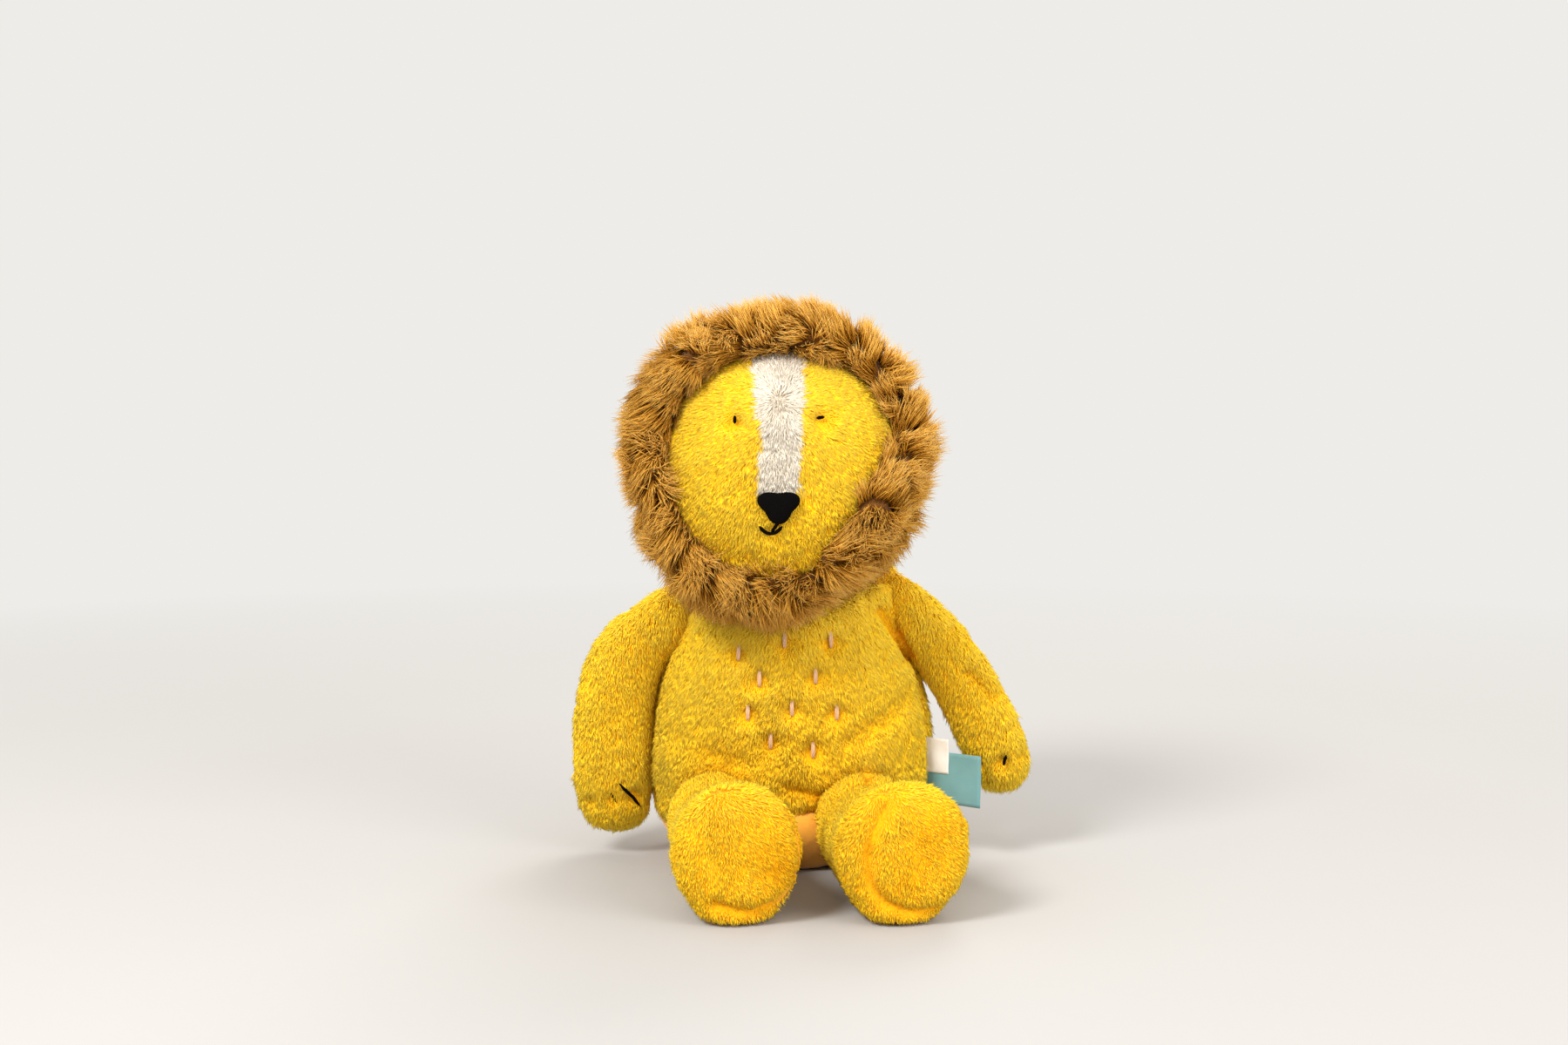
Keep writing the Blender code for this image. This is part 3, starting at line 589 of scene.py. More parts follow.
# %% [markdown]
# ## The mane's strip
# The mane is a strip of long-pile fabric, folded over and sewn on round the face like a scarf. Its end
# lies on its start at the lower right. It is a closed tube swept along the face's edge, whose distance
# from the head's middle was measured every 20 degrees.

# %% Sweep the strip
EDGE = (  # mm
    62.0, 66.5, 70.0, 68.0, 63.5, 62.5, 64.5, 65.5, 62.5, 58.0, 57.0, 60.5, 64.0, 62.5, 58.0, 50.0, 49.0, 56.0
)
OUTSIDE = (  # mm
    90.0, 88.0, 87.5, 91.0, 94.0, 90.0, 96.0, 98.0, 95.0, 91.0, 90.5, 95.5, 100.0, 98.0, 91.0, 80.0, 77.0,
    82.0,
)
STRIP_START, STRIP_STEP, STRIP_RINGS = -32, 4, 101  # degrees, and a count
FLAP_START, FLAP_LENGTH = 345, 45  # degrees
FLAP_REACH, FLAP_THICKER, FLAP_RISE = 0.0575, 0.0035, 0.025
CHIN_IN, CHIN_THICKER, CHIN_AHEAD = 0.008, 0.003, 0.018
STRIP_AHEAD = 0.038
STRIP_MIDDLE, STRIP_THICK = 0.38, 0.27  # shares of the way from the edge to the outside


def radius_at(table, turn):
    step = (turn % 360) / 20
    low = int(step)
    share = ease(step - low)
    return (table[low % 18] * (1 - share) + table[(low + 1) % 18] * share) / 1000


def strip_point(turn):
    """The middle of the strip at this angle, and its radius. Its last stretch lies over its start."""
    inner, outer = radius_at(EDGE, turn), radius_at(OUTSIDE, turn)
    over = ease(min(1.0, max(0.0, (-FLAP_START - turn) / FLAP_LENGTH)))
    reach = (inner + STRIP_MIDDLE * (outer - inner)) * (1 - over) + FLAP_REACH * over
    thick = STRIP_THICK * (outer - inner) + FLAP_THICKER * over
    angle = math.radians(turn)
    chin = max(0.0, -math.sin(angle)) * (1 - over)
    reach -= CHIN_IN * chin
    thick += CHIN_THICKER * chin
    ahead = STRIP_AHEAD + CHIN_AHEAD * chin + FLAP_RISE * over
    centre = Vector((math.cos(angle) * reach, -ahead, math.sin(angle) * reach)) + HEAD
    return centre, thick


def close_rows(bm, rows, tips):
    """Joins rings of vertices into a tube, and closes each end on a tip."""
    for low, high in zip(rows, rows[1:]):
        for k in range(len(low)):
            j = (k + 1) % len(low)
            bm.faces.new((low[k], low[j], high[j], high[k]))
    for ring, spot in zip((rows[0], rows[-1]), tips):
        tip = bm.verts.new(spot)
        for k in range(len(ring)):
            bm.faces.new((ring[k], ring[(k + 1) % len(ring)], tip))
    bmesh.ops.recalc_face_normals(bm, faces=bm.faces)


def sweep(name, line, sides, deep=1.0, back=0.0):
    """A closed tube through (centre, radius) pairs, so many times as deep as wide, and set back."""
    bm = bmesh.new()
    rows = []
    for i, (centre, radius) in enumerate(line):
        ahead, behind = line[min(i + 1, len(line) - 1)][0], line[max(i - 1, 0)][0]
        along = (ahead - behind).normalized()
        across = along.cross(Vector((0, 1, 0)))
        across = across.normalized() if across.length > 0.1 else Vector((1, 0, 0))
        up = across.cross(along).normalized()
        ring = []
        for k in range(sides):
            turn = 2 * math.pi * k / sides
            spot = centre + (across * math.cos(turn) + up * math.sin(turn) * deep) * radius
            ring.append(bm.verts.new(spot + Vector((0, back, 0))))
        rows.append(ring)
    close_rows(bm, rows, [sum((v.co for v in ring), Vector()) / sides for ring in (rows[0], rows[-1])])
    mesh = mesh_of(name, bm)
    mesh.shade_smooth()
    return shown(name, mesh)


strip_line = []
for i in range(STRIP_RINGS):
    centre, radius = strip_point(STRIP_START - STRIP_STEP * i)
    from_end = 0.4 + min(i, STRIP_RINGS - 1 - i)
    strip_line.append((centre, radius * math.sin(math.pi / 2 * min(1, from_end / 4))))
strip = sweep("mane_strip_skin", strip_line, 18, deep=1.9, back=0.009)
print("the strip is", len(strip_line), "rings long")

# %% [markdown]
# ## What the pile needs to know
# Pile isn't the same all over. It is combed one way, and it is short where thread or another bag presses on
# it; shade is painted on it in creases, dimples, seams and where bags meet. Each skin keeps that as
# attributes on its vertices, and the nodes that grow the pile read them.

# %% Dimples, creases and combing
DOWN = np.array((0, 0, -1.0))
coats = {}


def note(mesh, name, values):
    """Keeps a number or a vector at each vertex, as an attribute."""
    values = np.array(values, np.float32)
    kind, field = ("FLOAT_VECTOR", "vector") if values.ndim == 2 else ("FLOAT", "value")
    mesh.attributes.new(name, kind, "POINT").data.foreach_set(field, values.ravel())


class Coat:
    """A skin with its pile's length, tone (which holds painted shade), crowding and combing at each vertex.
    """

    def __init__(self, key, skin, body, slot="yellow_plush"):
        self.skin = skin
        self.body = body
        self.slot = slot
        self.place, self.normal = spots(skin.data)
        count = len(self.place)
        self.pile = np.ones(count)
        self.tone = np.zeros(count)
        self.crowd = np.ones(count)
        self.comb = np.zeros((count, 3))
        coats[key] = self

    def settle(self):
        move_to(self.skin.data, self.place)
        self.place, self.normal = spots(self.skin.data)
        print(self.skin.name, "is pressed in, pile down to", round(float(self.pile.min()), 2))

    def press(self, share, depth, shorter, painted_shade):
        """Pushes the skin in where share is above 0, shortens the pile there, and paints shade on it."""
        self.place -= self.normal * (share * depth)[:, None]
        self.pile *= 1 - shorter * share
        self.tone -= painted_shade * share

    def dimple(self, spot, radius, depth, shorter=0.6, painted_shade=0.25):
        # a dimple, with shade painted in its hollow
        gap = np.linalg.norm(self.place - np.array(spot), axis=1)
        self.press(unit(1 - (gap / radius) ** 2) ** 2, depth, shorter, painted_shade)

    def crease(self, line, width, depth, shorter=0.25, painted_shade=0.45, facing=-0.1):
        """A fold along a line of (x, z) points on the front, with shade painted in it."""
        best = np.full(len(self.place), 1.0)
        spot = self.place[:, [0, 2]]
        for start, end in zip(line, line[1:]):
            start, end = np.array(start), np.array(end)
            way = end - start
            along = unit(((spot - start) @ way) / (way @ way))
            best = np.minimum(best, np.linalg.norm(spot - start - along[:, None] * way, axis=1))
        self.press(bell(best, width) * (self.normal[:, 1] < facing), depth, shorter, painted_shade)

    def seam(self, distance, width, depth):
        """A sewn seam where the distance, given at each vertex, is zero, with shade painted along it."""
        self.press(bell(distance, width), depth, 0.3, 0.25)

    def combed(self, way):
        """Combs the pile along directions given at each vertex, laid on the surface."""
        way = np.broadcast_to(np.asarray(way, float), self.place.shape)
        flat = way - self.normal * np.sum(way * self.normal, axis=1)[:, None]
        size = np.linalg.norm(flat, axis=1)[:, None]
        self.comb = flat / np.maximum(size, 0.15)

    def bare(self, where):
        self.crowd[where] = 0

    def beside(self, other, full, deep=0.03):
        """Shortens the pile and paints shade on it as another skin comes nearer than the full distance, and
        stops it inside.
        """
        tree = BVHTree.FromObject(other, bpy.context.evaluated_depsgraph_get())
        for i, spot in enumerate(self.place):
            found, facing, _, gap = tree.find_nearest(Vector(spot))
            if (Vector(spot) - found).dot(facing) < 0.0005 and gap < deep:
                self.crowd[i] = 0
            elif gap < full:
                share = gap / full
                self.pile[i] *= 0.6 + 0.4 * share
                # painted shade where the other bag comes near
                self.tone[i] -= 0.35 * (1 - share)

    def keep(self):
        """Writes the attributes on the skin."""
        values = {"length": self.pile, "tone": self.tone, "crowd": self.crowd, "comb": self.comb}
        for name, each in values.items():
            note(self.skin.data, f"pile_{name}", each)
        print(self.skin.name, "pile is", round(float(self.pile.mean()), 2), "of its length on average")


print("a coat has", len([name for name in vars(Coat) if not name.startswith("_")]), "ways to shape it")

# %% The body. Folds are lines of (x, z) points on its front.
ARMPIT = ((0.0522, 0.1530), (0.0637, 0.1358), (0.0709, 0.1229))
NECK_Z = 0.168
HEM_Z, HEM_BETWEEN_LEGS, SKIRT_Z = 0.008, 0.025, 0.036
BETWEEN_LEGS = (0.010, 0.030)  # middle and half width, along X

coat = Coat("torso", torso, "torso")
for spot in chest:
    coat.dimple(spot, 0.011, 0.0024, shorter=0.7, painted_shade=0.3)
coat.crease(((-0.001, 0.0508), (0.0167, 0.0457), (0.0394, 0.0442), (0.0521, 0.0355)), 0.0045, 0.0028)
coat.crease(((0.0092, 0.0346), (0.0269, 0.0321), (0.0421, 0.0269)), 0.004, 0.002)
coat.crease(((0.034, 0.078), (0.052, 0.086), (0.066, 0.098)), 0.007, 0.0018, painted_shade=0.2)
coat.crease(((-0.046, 0.068), (-0.026, 0.064), (-0.010, 0.070)), 0.007, 0.0012, painted_shade=0.15)
coat.crease(ARMPIT, 0.0035, 0.003, shorter=0.5, painted_shade=0.5)
coat.seam(coat.place[:, 1] - SEAM_Y, 0.0035, 0.0015)
coat.settle()
x, y, z = coat.place.T
coat.combed(np.stack([np.sign(x) * 0.25, np.zeros(len(x)), np.full(len(x), -1.0)], 1))
between = bell(x - BETWEEN_LEGS[0], BETWEEN_LEGS[1], 4) * (y < 0)
coat.pile *= 1 + 0.3 * (z < SKIRT_Z)
coat.bare(z < HEM_Z + HEM_BETWEEN_LEGS * between)
coat.bare(z > NECK_Z + 0.2 * unit(x - 0.02))

# %% The arms
for arm in ARMS:
    coat = Coat(arm, limbs[arm], arm)
    coat.seam(coat.place[:, 1] - ARM_SEAM_Y, 0.003, 0.0014)
    for i, spot in enumerate(claws[arm], 1):
        clear = (arm, i) in SHOWN_CLAWS
        coat.dimple(spot, 0.009, 0.0020, shorter=0.7 if clear else 0.05, painted_shade=0.2 if clear else 0.35)
coat.crease(((0.1061, 0.1143), (0.1155, 0.1049), (0.1217, 0.0986)), 0.004, 0.003)
coat.crease(ARMPIT, 0.0035, 0.003, shorter=0.5, painted_shade=0.5)
for arm in ARMS:
    coats[arm].settle()
    coats[arm].combed(DOWN)

# %% The legs
SOLE_SEAM = {
    # where the sole's edge shows, as (x, z)
    "left_leg": (
        (0.0020, 0.0620), (0.0060, 0.0513), (0.0085, 0.0358), (0.0058, 0.0225), (-0.0045, 0.0130),
        (-0.0219, 0.0085), (-0.0400, 0.0130),
    ),
    "right_leg": (
        (0.0500, 0.0680), (0.0450, 0.0560), (0.0415, 0.0466), (0.0402, 0.0358), (0.0418, 0.0252),
        (0.0485, 0.0150), (0.0610, 0.0090), (0.0760, 0.0090),
    ),
}
SOLE_SHADE = {
    # painted shade, as darker patches where the pile is brushed up, given as (x, z, size, how dark)
    "left_leg": ((-0.0130, 0.0400, 0.014, 0.30), (-0.0020, 0.0300, 0.012, 0.22), (0, 0.0640, 0.005, 0.30)),
    "right_leg": ((0.0740, 0.0500, 0.013, 0.30), (0.0620, 0.0280, 0.011, 0.22), (0.09, 0.06, 0.007, 0.20)),
}
SOLE_REACH, SOLE_Z = 0.13, 0.036
FLAT_DOWN = -0.75  # a normal's Z, or -Y, where a surface faces away

for leg in LEGS:
    coat = Coat(leg, limbs[leg], leg)
    along = down_leg(leg, coat.place)
    sole = np.array(hips[leg]) + np.array(ways[leg]) * SOLE_REACH
    sole[2] = SOLE_Z
    coat.crease(SOLE_SEAM[leg], 0.0034, 0.0034, shorter=0.6, painted_shade=0.35)
    for x, z, size, dark in SOLE_SHADE[leg]:
        gap = np.linalg.norm(coat.place[:, [0, 2]] - np.array((x, z)), axis=1)
        coat.tone -= dark * bell(gap, size) * (along > 0.10)
    coat.settle()
    spread = coat.place - sole
    ahead = unit((along - 0.105) / 0.02)[:, None]
    coat.pile *= 1 - 0.22 * ahead[:, 0]
    coat.tone -= 0.12 * ahead[:, 0]
    back = -np.array(ways[leg]) + np.array((0, 0, 0.3))
    lying = spread / 0.06 + np.array((0.25, 0, -0.75))
    coat.combed(lying * ahead + back * (1 - ahead))
    coat.bare((coat.normal[:, 2] < FLAT_DOWN) & (coat.place[:, 2] < ON_FLOOR))

# %% The face, and the stripe down it
STRIPE = (
    # height, middle, half the width
    (0.3003, -0.0067, 0.0130),
    (0.2800, -0.0062, 0.0114),
    (0.2617, -0.0052, 0.0100),
    (0.2490, -0.0054, 0.0104),
    (0.2374, -0.0070, 0.0110),
    (0.2228, -0.0076, 0.0108),
)
STRIPE_LOW = 0.2215
FLAP_BACK, FLAP_SIDE, FLAP_TOP = -0.066, 0.030, 0.225  # the face's edge that the strip's end hides


def stripe_edge(place):
    """How far inside the stripe each point is, along X."""
    heights, middles, halves = np.array(STRIPE[::-1]).T
    centre = np.interp(place[:, 2], heights, middles)
    inside = np.interp(place[:, 2], heights, halves) - np.abs(place[:, 0] - centre)
    return np.where(place[:, 2] > STRIPE_LOW, inside, -0.01)


nose_low, nose_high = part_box("nose")
nose_spot = (nose_low + nose_high) / 2
coat = Coat("face", face, "head")
for spot in eyes:
    coat.dimple(spot, 0.011, 0.0022, shorter=0.8)
coat.dimple(middle("mouth"), 0.010, 0.0006, shorter=0.75, painted_shade=0.05)
coat.dimple(nose_spot, 0.0115, 0.0004, shorter=0.85, painted_shade=0.0)
for band in (0.2705, 0.2500):
    coat.crease(((-0.015, band), (0.004, band - 0.001)), 0.0040, 0.0006, shorter=0.1, painted_shade=0.12)
coat.settle()
away = coat.place - np.array((HEAD.x, HEAD.y - 0.08, HEAD.z + 0.015))
away[:, 1] = 0
coat.combed(away / 0.04 + DOWN * 0.6)
x, y, z = coat.place.T
coat.bare(y > HEAD.y - 0.020)
coat.bare((y > FLAP_BACK) & (x > FLAP_SIDE) & (z < FLAP_TOP))

# %% The mane, the nape and the tail
MANE_RADIUS = 0.07

coat = Coat("strip", strip, "head", "tan_long_pile")
away = coat.place - np.array((HEAD.x, HEAD.y - 0.02, HEAD.z))
away[:, 1] = 0
around = np.cross(away, np.array((0, 1.0, 0)))
inward = -np.sum(coat.normal * away, axis=1) / np.linalg.norm(away, axis=1)
coat.pile *= 1 - 0.45 * unit(inward)
coat.bare(coat.normal[:, 1] > 0.6)
coat.combed(away / MANE_RADIUS * 0.55 + around / MANE_RADIUS * 0.55)

coat = Coat("nape", nape, "head", "tan_long_pile")
away = coat.place - np.array(HEAD)
away[:, 1] = 0.05
coat.combed(away / MANE_RADIUS + DOWN * 0.3)
coat.bare(coat.normal[:, 1] < FLAT_DOWN)
coat.bare((coat.place[:, 1] < HEAD.y - 0.030) & (coat.place[:, 2] > HEAD.z))

Coat("tail", tail, "tail").combed((0.2, 1, 0))
coat = Coat("tuft", tuft, "tail", "tan_long_pile")
coat.combed((1, -0.1, 0))
coat.bare(coat.place[:, 2] < 0.004)
print("coats:", sorted(coats))

# %% Where bags press on each other
bpy.context.view_layer.update()
for limb in LIMBS:
    coats[limb].beside(torso, 0.010)
    coats["torso"].beside(limbs[limb], 0.010 if limb in ARMS else 0.009)
coats["face"].beside(strip, 0.004)
coats["strip"].beside(face, 0.003)
coats["nape"].beside(torso, 0.010)
coats["nape"].beside(strip, 0.002)
coats["tail"].beside(torso, 0.008, deep=0.005)
coats["tail"].beside(tuft, 0.001)
for coat in coats.values():
    coat.keep()

# %% [markdown]
# ## Finishes
# Every hair takes its colour from its own small map: across the map lies how light this hair is, from shade
# painted in creases and between bags and from random tone, and up it lies how far from root to tip a point
# is.
# So a hair is painted dark and warm at its root, as the shade deep in the pile, and pale at its tip, and each
# lock differs a little from its neighbours.

# %% Pile, and the cloth under it
WHITE = (1, 1, 1)
BACKING = {"Roughness": 0.95, "Sheen_Weight": 0.2, "Specular_IOR_Level": 0.1}
# painted shade: the backing is darker than the pile, as the shade that falls between the hairs
SHADED_YELLOW_CLOTH = (paint(226, 148, 4), paint(246, 182, 14))
SHADED_CREAM_CLOTH = (paint(206, 188, 160), paint(232, 222, 204))
SHARP = 1e4


def pile_finish(name, stops, shade):
    """Long or short pile. The stops go from root to tip, dark at the root as painted shade deep in the pile,
    and shade from the darkest hair to the lightest, by painted shade and random tone.
    """
    board = Finish(name, Roughness=1.0, Specular_IOR_Level=0.02)
    parts = board.parts(board.node("ShaderNodeUVMap", {"uv_map": "hair"}))
    steps = board.node("ShaderNodeValToRGB", {"stops": stops}, {0: parts.out("Y")})
    tones = board.node("ShaderNodeValToRGB", {"stops": shade}, {0: parts.out("X")})
    board.feed("Base Color", board.blend(1.0, steps, tones, "MULTIPLY"))
    return board.material


def cloth_finish(name, deep, light):
    """The knitted backing that shows between the hairs, painted darker as the shade deep among them."""
    board = Finish(name, **BACKING)
    place = board.place()
    knit = board.node("ShaderNodeTexVoronoi", None, {"Vector": place, "Scale": 900.0})
    board.feed("Base Color", board.blend(board.noise(place, 60.0, 4.0) * 0.7 + knit * 0.3, deep, light))
    board.bump(knit, 0.3, 0.0004)
    return board.material


# painted shade: roots darker and warmer than tips, and low tone darker and warmer
yellow_pile = pile_finish(
    "yellow_pile",
    [(0.0, colour(244, 178, 6)), (0.4, colour(254, 212, 38)), (1.0, colour(254, 230, 94))],
    [(0.0, (0.76, 0.50, 0.10)), (0.35, (0.96, 0.86, 0.60)), (0.7, WHITE), (1.0, WHITE)],
)
cream_pile = pile_finish(
    "cream_pile",
    [(0.0, colour(222, 206, 182)), (0.5, colour(239, 230, 214)), (1.0, colour(245, 238, 226))],
    [(0.0, (0.78, 0.75, 0.70)), (0.5, (0.97, 0.96, 0.94)), (1.0, WHITE)],
)
tan_pile = pile_finish(
    "tan_pile",
    [
        (0.0, colour(92, 50, 8)), (0.4, colour(180, 122, 36)), (0.75, colour(222, 168, 72)),
        (1.0, colour(248, 206, 124)),
    ],
    [(0.0, (0.40, 0.31, 0.22)), (0.4, (0.80, 0.75, 0.66)), (1.0, WHITE)],
)
yellow_cloth = cloth_finish("yellow_cloth", *SHADED_YELLOW_CLOTH)
# painted shade: the dark brown backing stands for the deep shade in the gaps of the long pile
tan_cloth = cloth_finish("tan_cloth", paint(84, 48, 12), paint(122, 78, 28))
print("pile and cloth:", [m.name for m in (yellow_pile, cream_pile, tan_pile, yellow_cloth, tan_cloth)])

# %% The face's cloth: cream under the stripe, and dark brown painted shade under the strip's end
STRIPE_MIDDLE, STRIPE_HALF = -0.005, 0.0132

board = Finish("face_cloth", **BACKING)
place = board.place()
sides = board.parts(place)
beside = sides.out("X") - STRIPE_MIDDLE
inside = ((beside * beside - STRIPE_HALF * STRIPE_HALF) * -1e6).held()
above = ((sides.out("Z") - STRIPE_LOW) * SHARP).held()
cloud = board.noise(place, 60.0, 4.0)
front = board.blend(inside * above, board.blend(cloud, *SHADED_YELLOW_CLOTH), board.blend(cloud, *SHADED_CREAM_CLOTH))
# painted shade: the face's edge under the strip's end is dark brown, as the shade of the gap there
hidden = ((sides.out("Y") - FLAP_BACK) * SHARP).held()
hidden = hidden * ((sides.out("X") - FLAP_SIDE) * SHARP).held()
hidden = hidden * ((FLAP_TOP - sides.out("Z")) * SHARP).held()
board.feed("Base Color", board.blend(hidden, front, paint(100, 60, 18)))
face_cloth = board.material
print(face_cloth.name, "has", len(board.tree.nodes), "nodes")

# %% [markdown]
# ## One hair, then thousands
# A hair is a slim closed spindle that bends. The nodes scatter points on a skin, turn a hair at each to
# stand between the surface's normal and the way it is combed, and pull the tips of each little lock
# together. Random scatter alone looks like a brush; it is the locks that make it look like plush.


# %% The hairs
def marked(name, bm, length, across):
    """The hair as an object that knows how far up, and on which side, each of its points is."""
    bmesh.ops.recalc_face_normals(bm, faces=bm.faces)
    mesh = mesh_of(name, bm)
    mesh.shade_smooth()
    note(mesh, "up_hair", [v.co.z / length for v in mesh.vertices])
    note(mesh, "round_hair", across)
    return shown(name, mesh)


def sliver(name, length, thick, bend):
    """The slimmest closed hair: four faces between its base, its tip and its two sides."""
    bm = bmesh.new()
    base, tip = bm.verts.new((0, 0, 0)), bm.verts.new((bend * length, 0, length))
    left, right = (bm.verts.new((bend * length * 0.15, side * thick, length * 0.42)) for side in (-1, 1))
    for corners in ((base, left, right), (tip, right, left), (base, tip, left), (base, right, tip)):
        bm.faces.new(corners)
    return marked(name, bm, length, (0, 0, -1, 1))


def spindle(name, length, thick, bend, steps):
    """A closed three-sided hair along Z that bends to X. Steps are (way up, share of the thickness)."""
    bm = bmesh.new()
    rows = []
    for up, share in steps:
        lean = bend * length * up * up
        row = []
        for k in range(3):
            turn = 2 * math.pi * k / 3
            x, y = lean + math.cos(turn) * thick * share, math.sin(turn) * thick * share
            row.append(bm.verts.new((x, y, up * length)))
        rows.append(row)
    base, tip = bm.verts.new((0, 0, 0)), bm.verts.new((bend * length, 0, length))
    for k in range(3):
        j = (k + 1) % 3
        bm.faces.new((base, rows[0][j], rows[0][k]))
        for low, high in zip(rows, rows[1:]):
            bm.faces.new((low[k], low[j], high[j]))
            bm.faces.new((low[k], high[j], high[k]))
        bm.faces.new((rows[-1][k], rows[-1][j], tip))
    return marked(name, bm, length, (-1, 0, 1) * len(steps) + (0, 0))


short_hair = sliver("short_hair", 0.0066, 0.00017, 0.30)
long_hair = spindle("long_hair", 0.0185, 0.00028, 0.30, [(0.30, 0.95), (0.68, 0.9)])
plain_hair = spindle("plain_long_hair", 0.0190, 0.00036, 0.22, [(0.45, 1.0)])
singles = (short_hair, long_hair, plain_hair)
print("faces of a hair:", [len(single.data.polygons) for single in singles])


# %% The nodes that grow it
class Grower(Board):
    """A Geometry Nodes tree that copies one object to many points, and the way to run it."""

    def __init__(self, name, given, result):
        super().__init__(bpy.data.node_groups.new(name, "GeometryNodeTree"))
        sockets = self.tree.interface
        for label, kind in given.items():
            sockets.new_socket(label, in_out="INPUT", socket_type=f"NodeSocket{kind}")
        sockets.new_socket(result, in_out="OUTPUT", socket_type="NodeSocketGeometry")
        self.given = self.node("NodeGroupInput").out
        self.result = result

    def attribute(self, name, kind="FLOAT"):
        return self.node("GeometryNodeInputNamedAttribute", {"data_type": kind}, {"Name": name}, "Attribute")

    def stored(self, geometry, name, value, kind, domain):
        settings = {"data_type": kind, "domain": domain}
        values = {"Geometry": geometry, "Name": name, "Value": value}
        return self.node("GeometryNodeStoreNamedAttribute", settings, values)

    def facing(self, primary, first, secondary, second):
        axes = {"primary_axis": primary, "secondary_axis": secondary}
        return self.node("FunctionNodeAxesToRotation", axes, {0: first, 1: second})

    def copies(self, points, single, turned, scale):
        """A real copy of the given object at each point."""
        single = self.node("GeometryNodeObjectInfo", None, {"Object": self.given(single)}, "Geometry")
        values = {"Points": points, "Instance": single, "Rotation": turned, "Scale": scale}
        placed = self.node("GeometryNodeInstanceOnPoints", None, values)
        return self.node("GeometryNodeRealizeInstances", None, {"Geometry": placed})

    def done(self, geometry):
        values = {"Geometry": geometry, "Material": self.given("Finish")}
        self.node("NodeGroupOutput", None, {self.result: self.node("GeometryNodeSetMaterial", None, values)})
        return self

    def run(self, obj, values):
        """The mesh that the tree makes of an object, which is removed."""
        keys = {i.name: i.identifier for i in self.tree.interface.items_tree if i.in_out == "INPUT"}
        modifier = obj.modifiers.new(self.tree.name, "NODES")
        modifier.node_group = self.tree
        for name, value in values.items():
            modifier[keys[name]] = value
        mesh = as_mesh(obj)
        bpy.data.objects.remove(obj, do_unlink=True)
        mesh.shade_smooth()
        return mesh


SIZES = (
    "Hairs per area", "Lock size", "Lock pull", "Rise", "Lean", "Mess", "Lock sway", "Lock curl", "Lock tone",
    "Chance tone",
)
PILE_INPUTS = {"Skin": "Geometry"} | dict.fromkeys(SIZES, "Float")
PILE_INPUTS |= {"Seed": "Int", "Hair": "Object", "Finish": "Material"}
NOTES = ("hair_tone", "up_hair", "round_hair", "pile_length", "pile_tone", "pile_crowd", "pile_comb")
MIDDLE_TONE = 0.66
LOWEST_HAIR = 0.0006
HALF = (0.5, 0.5, 0.5)


def pile_nodes():
    board = Grower("pile", PILE_INPUTS, "Pile")
    size = {name: board.given(name) for name in SIZES}
    seed = board.given("Seed")

    def chance(low, high, own):
        values = {2: low, 3: high, "Seed": seed + own}
        return board.node("FunctionNodeRandomValue", {"data_type": "FLOAT"}, values, 1)

    crowd = size["Hairs per area"] * board.attribute("pile_crowd")
    values = {"Mesh": board.given("Skin"), "Density": crowd, "Seed": seed}
    points = board.node("GeometryNodeDistributePointsOnFaces", None, values, "Points")
    normal = points.out("Normal")
    place = board.node("GeometryNodeInputPosition")
    values = {"Vector": place, "Scale": 1 / size["Lock size"]}
    locks = board.node("ShaderNodeTexVoronoi", None, values, "Position")
    to_lock = board.vector("SUBTRACT", locks, place)
    over = board.vector("DOT_PRODUCT", to_lock, normal)
    to_lock = board.vector("SUBTRACT", to_lock, board.vector("SCALE", normal, scale=over))
    own_way = board.vector("SUBTRACT", locks.out("Color"), HALF)
    values = {0: (-1, -1, -1), 1: (1, 1, 1), "Seed": seed + 5}
    mess = board.node("FunctionNodeRandomValue", {"data_type": "FLOAT_VECTOR"}, values, 0)
    flow = board.vector("SUBTRACT", board.noise(place, 32.0, 1.0, "Color"), HALF)
    comb = board.attribute("pile_comb", "FLOAT_VECTOR")

    def added(start, *pushes):
        """A direction with others added, each scaled."""
        for push, scale in pushes:
            start = board.vector("ADD", start, board.vector("SCALE", push, scale=scale))
        return start

    way = added(
        board.vector("SCALE", normal, scale=size["Rise"]),
        (comb, size["Lean"]),
        (to_lock, size["Lock pull"]),
        (mess, size["Mess"]),
        (own_way, size["Lock sway"]),
        (flow, size["Lean"]),
    )
    bend = added(comb, (own_way, size["Lock curl"]), (mess, 0.35))
    turned = board.facing("Z", way, "X", bend)
    lock_tone = board.parts(own_way)
    length = board.attribute("pile_length") * chance(0.72, 1.12, 1) * (1 + lock_tone.out("Y") * 0.3)
    thick = chance(0.75, 1.2, 2)
    # the tone holds shade painted in creases, dimples and between bags, and each lock's random tone
    tone = MIDDLE_TONE + board.attribute("pile_tone") + lock_tone.out("X") * size["Lock tone"]
    tone = (tone + chance(-1, 1, 3) * size["Chance tone"]).at_least(0.03).at_most(0.97)
    points = board.stored(points, "hair_tone", tone, "FLOAT", "POINT")
    real = board.copies(points, "Hair", turned, board.joined(thick, thick, length))
    spot = board.parts(board.node("GeometryNodeInputPosition"))
    lifted = board.joined(spot.out("X"), spot.out("Y"), spot.out("Z").at_least(LOWEST_HAIR))
    real = board.node("GeometryNodeSetPosition", None, {"Geometry": real, "Position": lifted})
    across = board.attribute("hair_tone") + board.attribute("round_hair") * 0.012
    on_map = board.joined(across, board.attribute("up_hair") * 0.98 + 0.01, 0.0)
    for name in ("OFBake", "hair"):
        real = board.stored(real, name, on_map, "FLOAT2", "CORNER")
    for name in NOTES:
        real = board.node("GeometryNodeRemoveAttribute", None, {"Geometry": real, "Name": name})
    return board.done(real)


pile_board = pile_nodes()
print("the pile's nodes:", len(pile_board.tree.nodes))

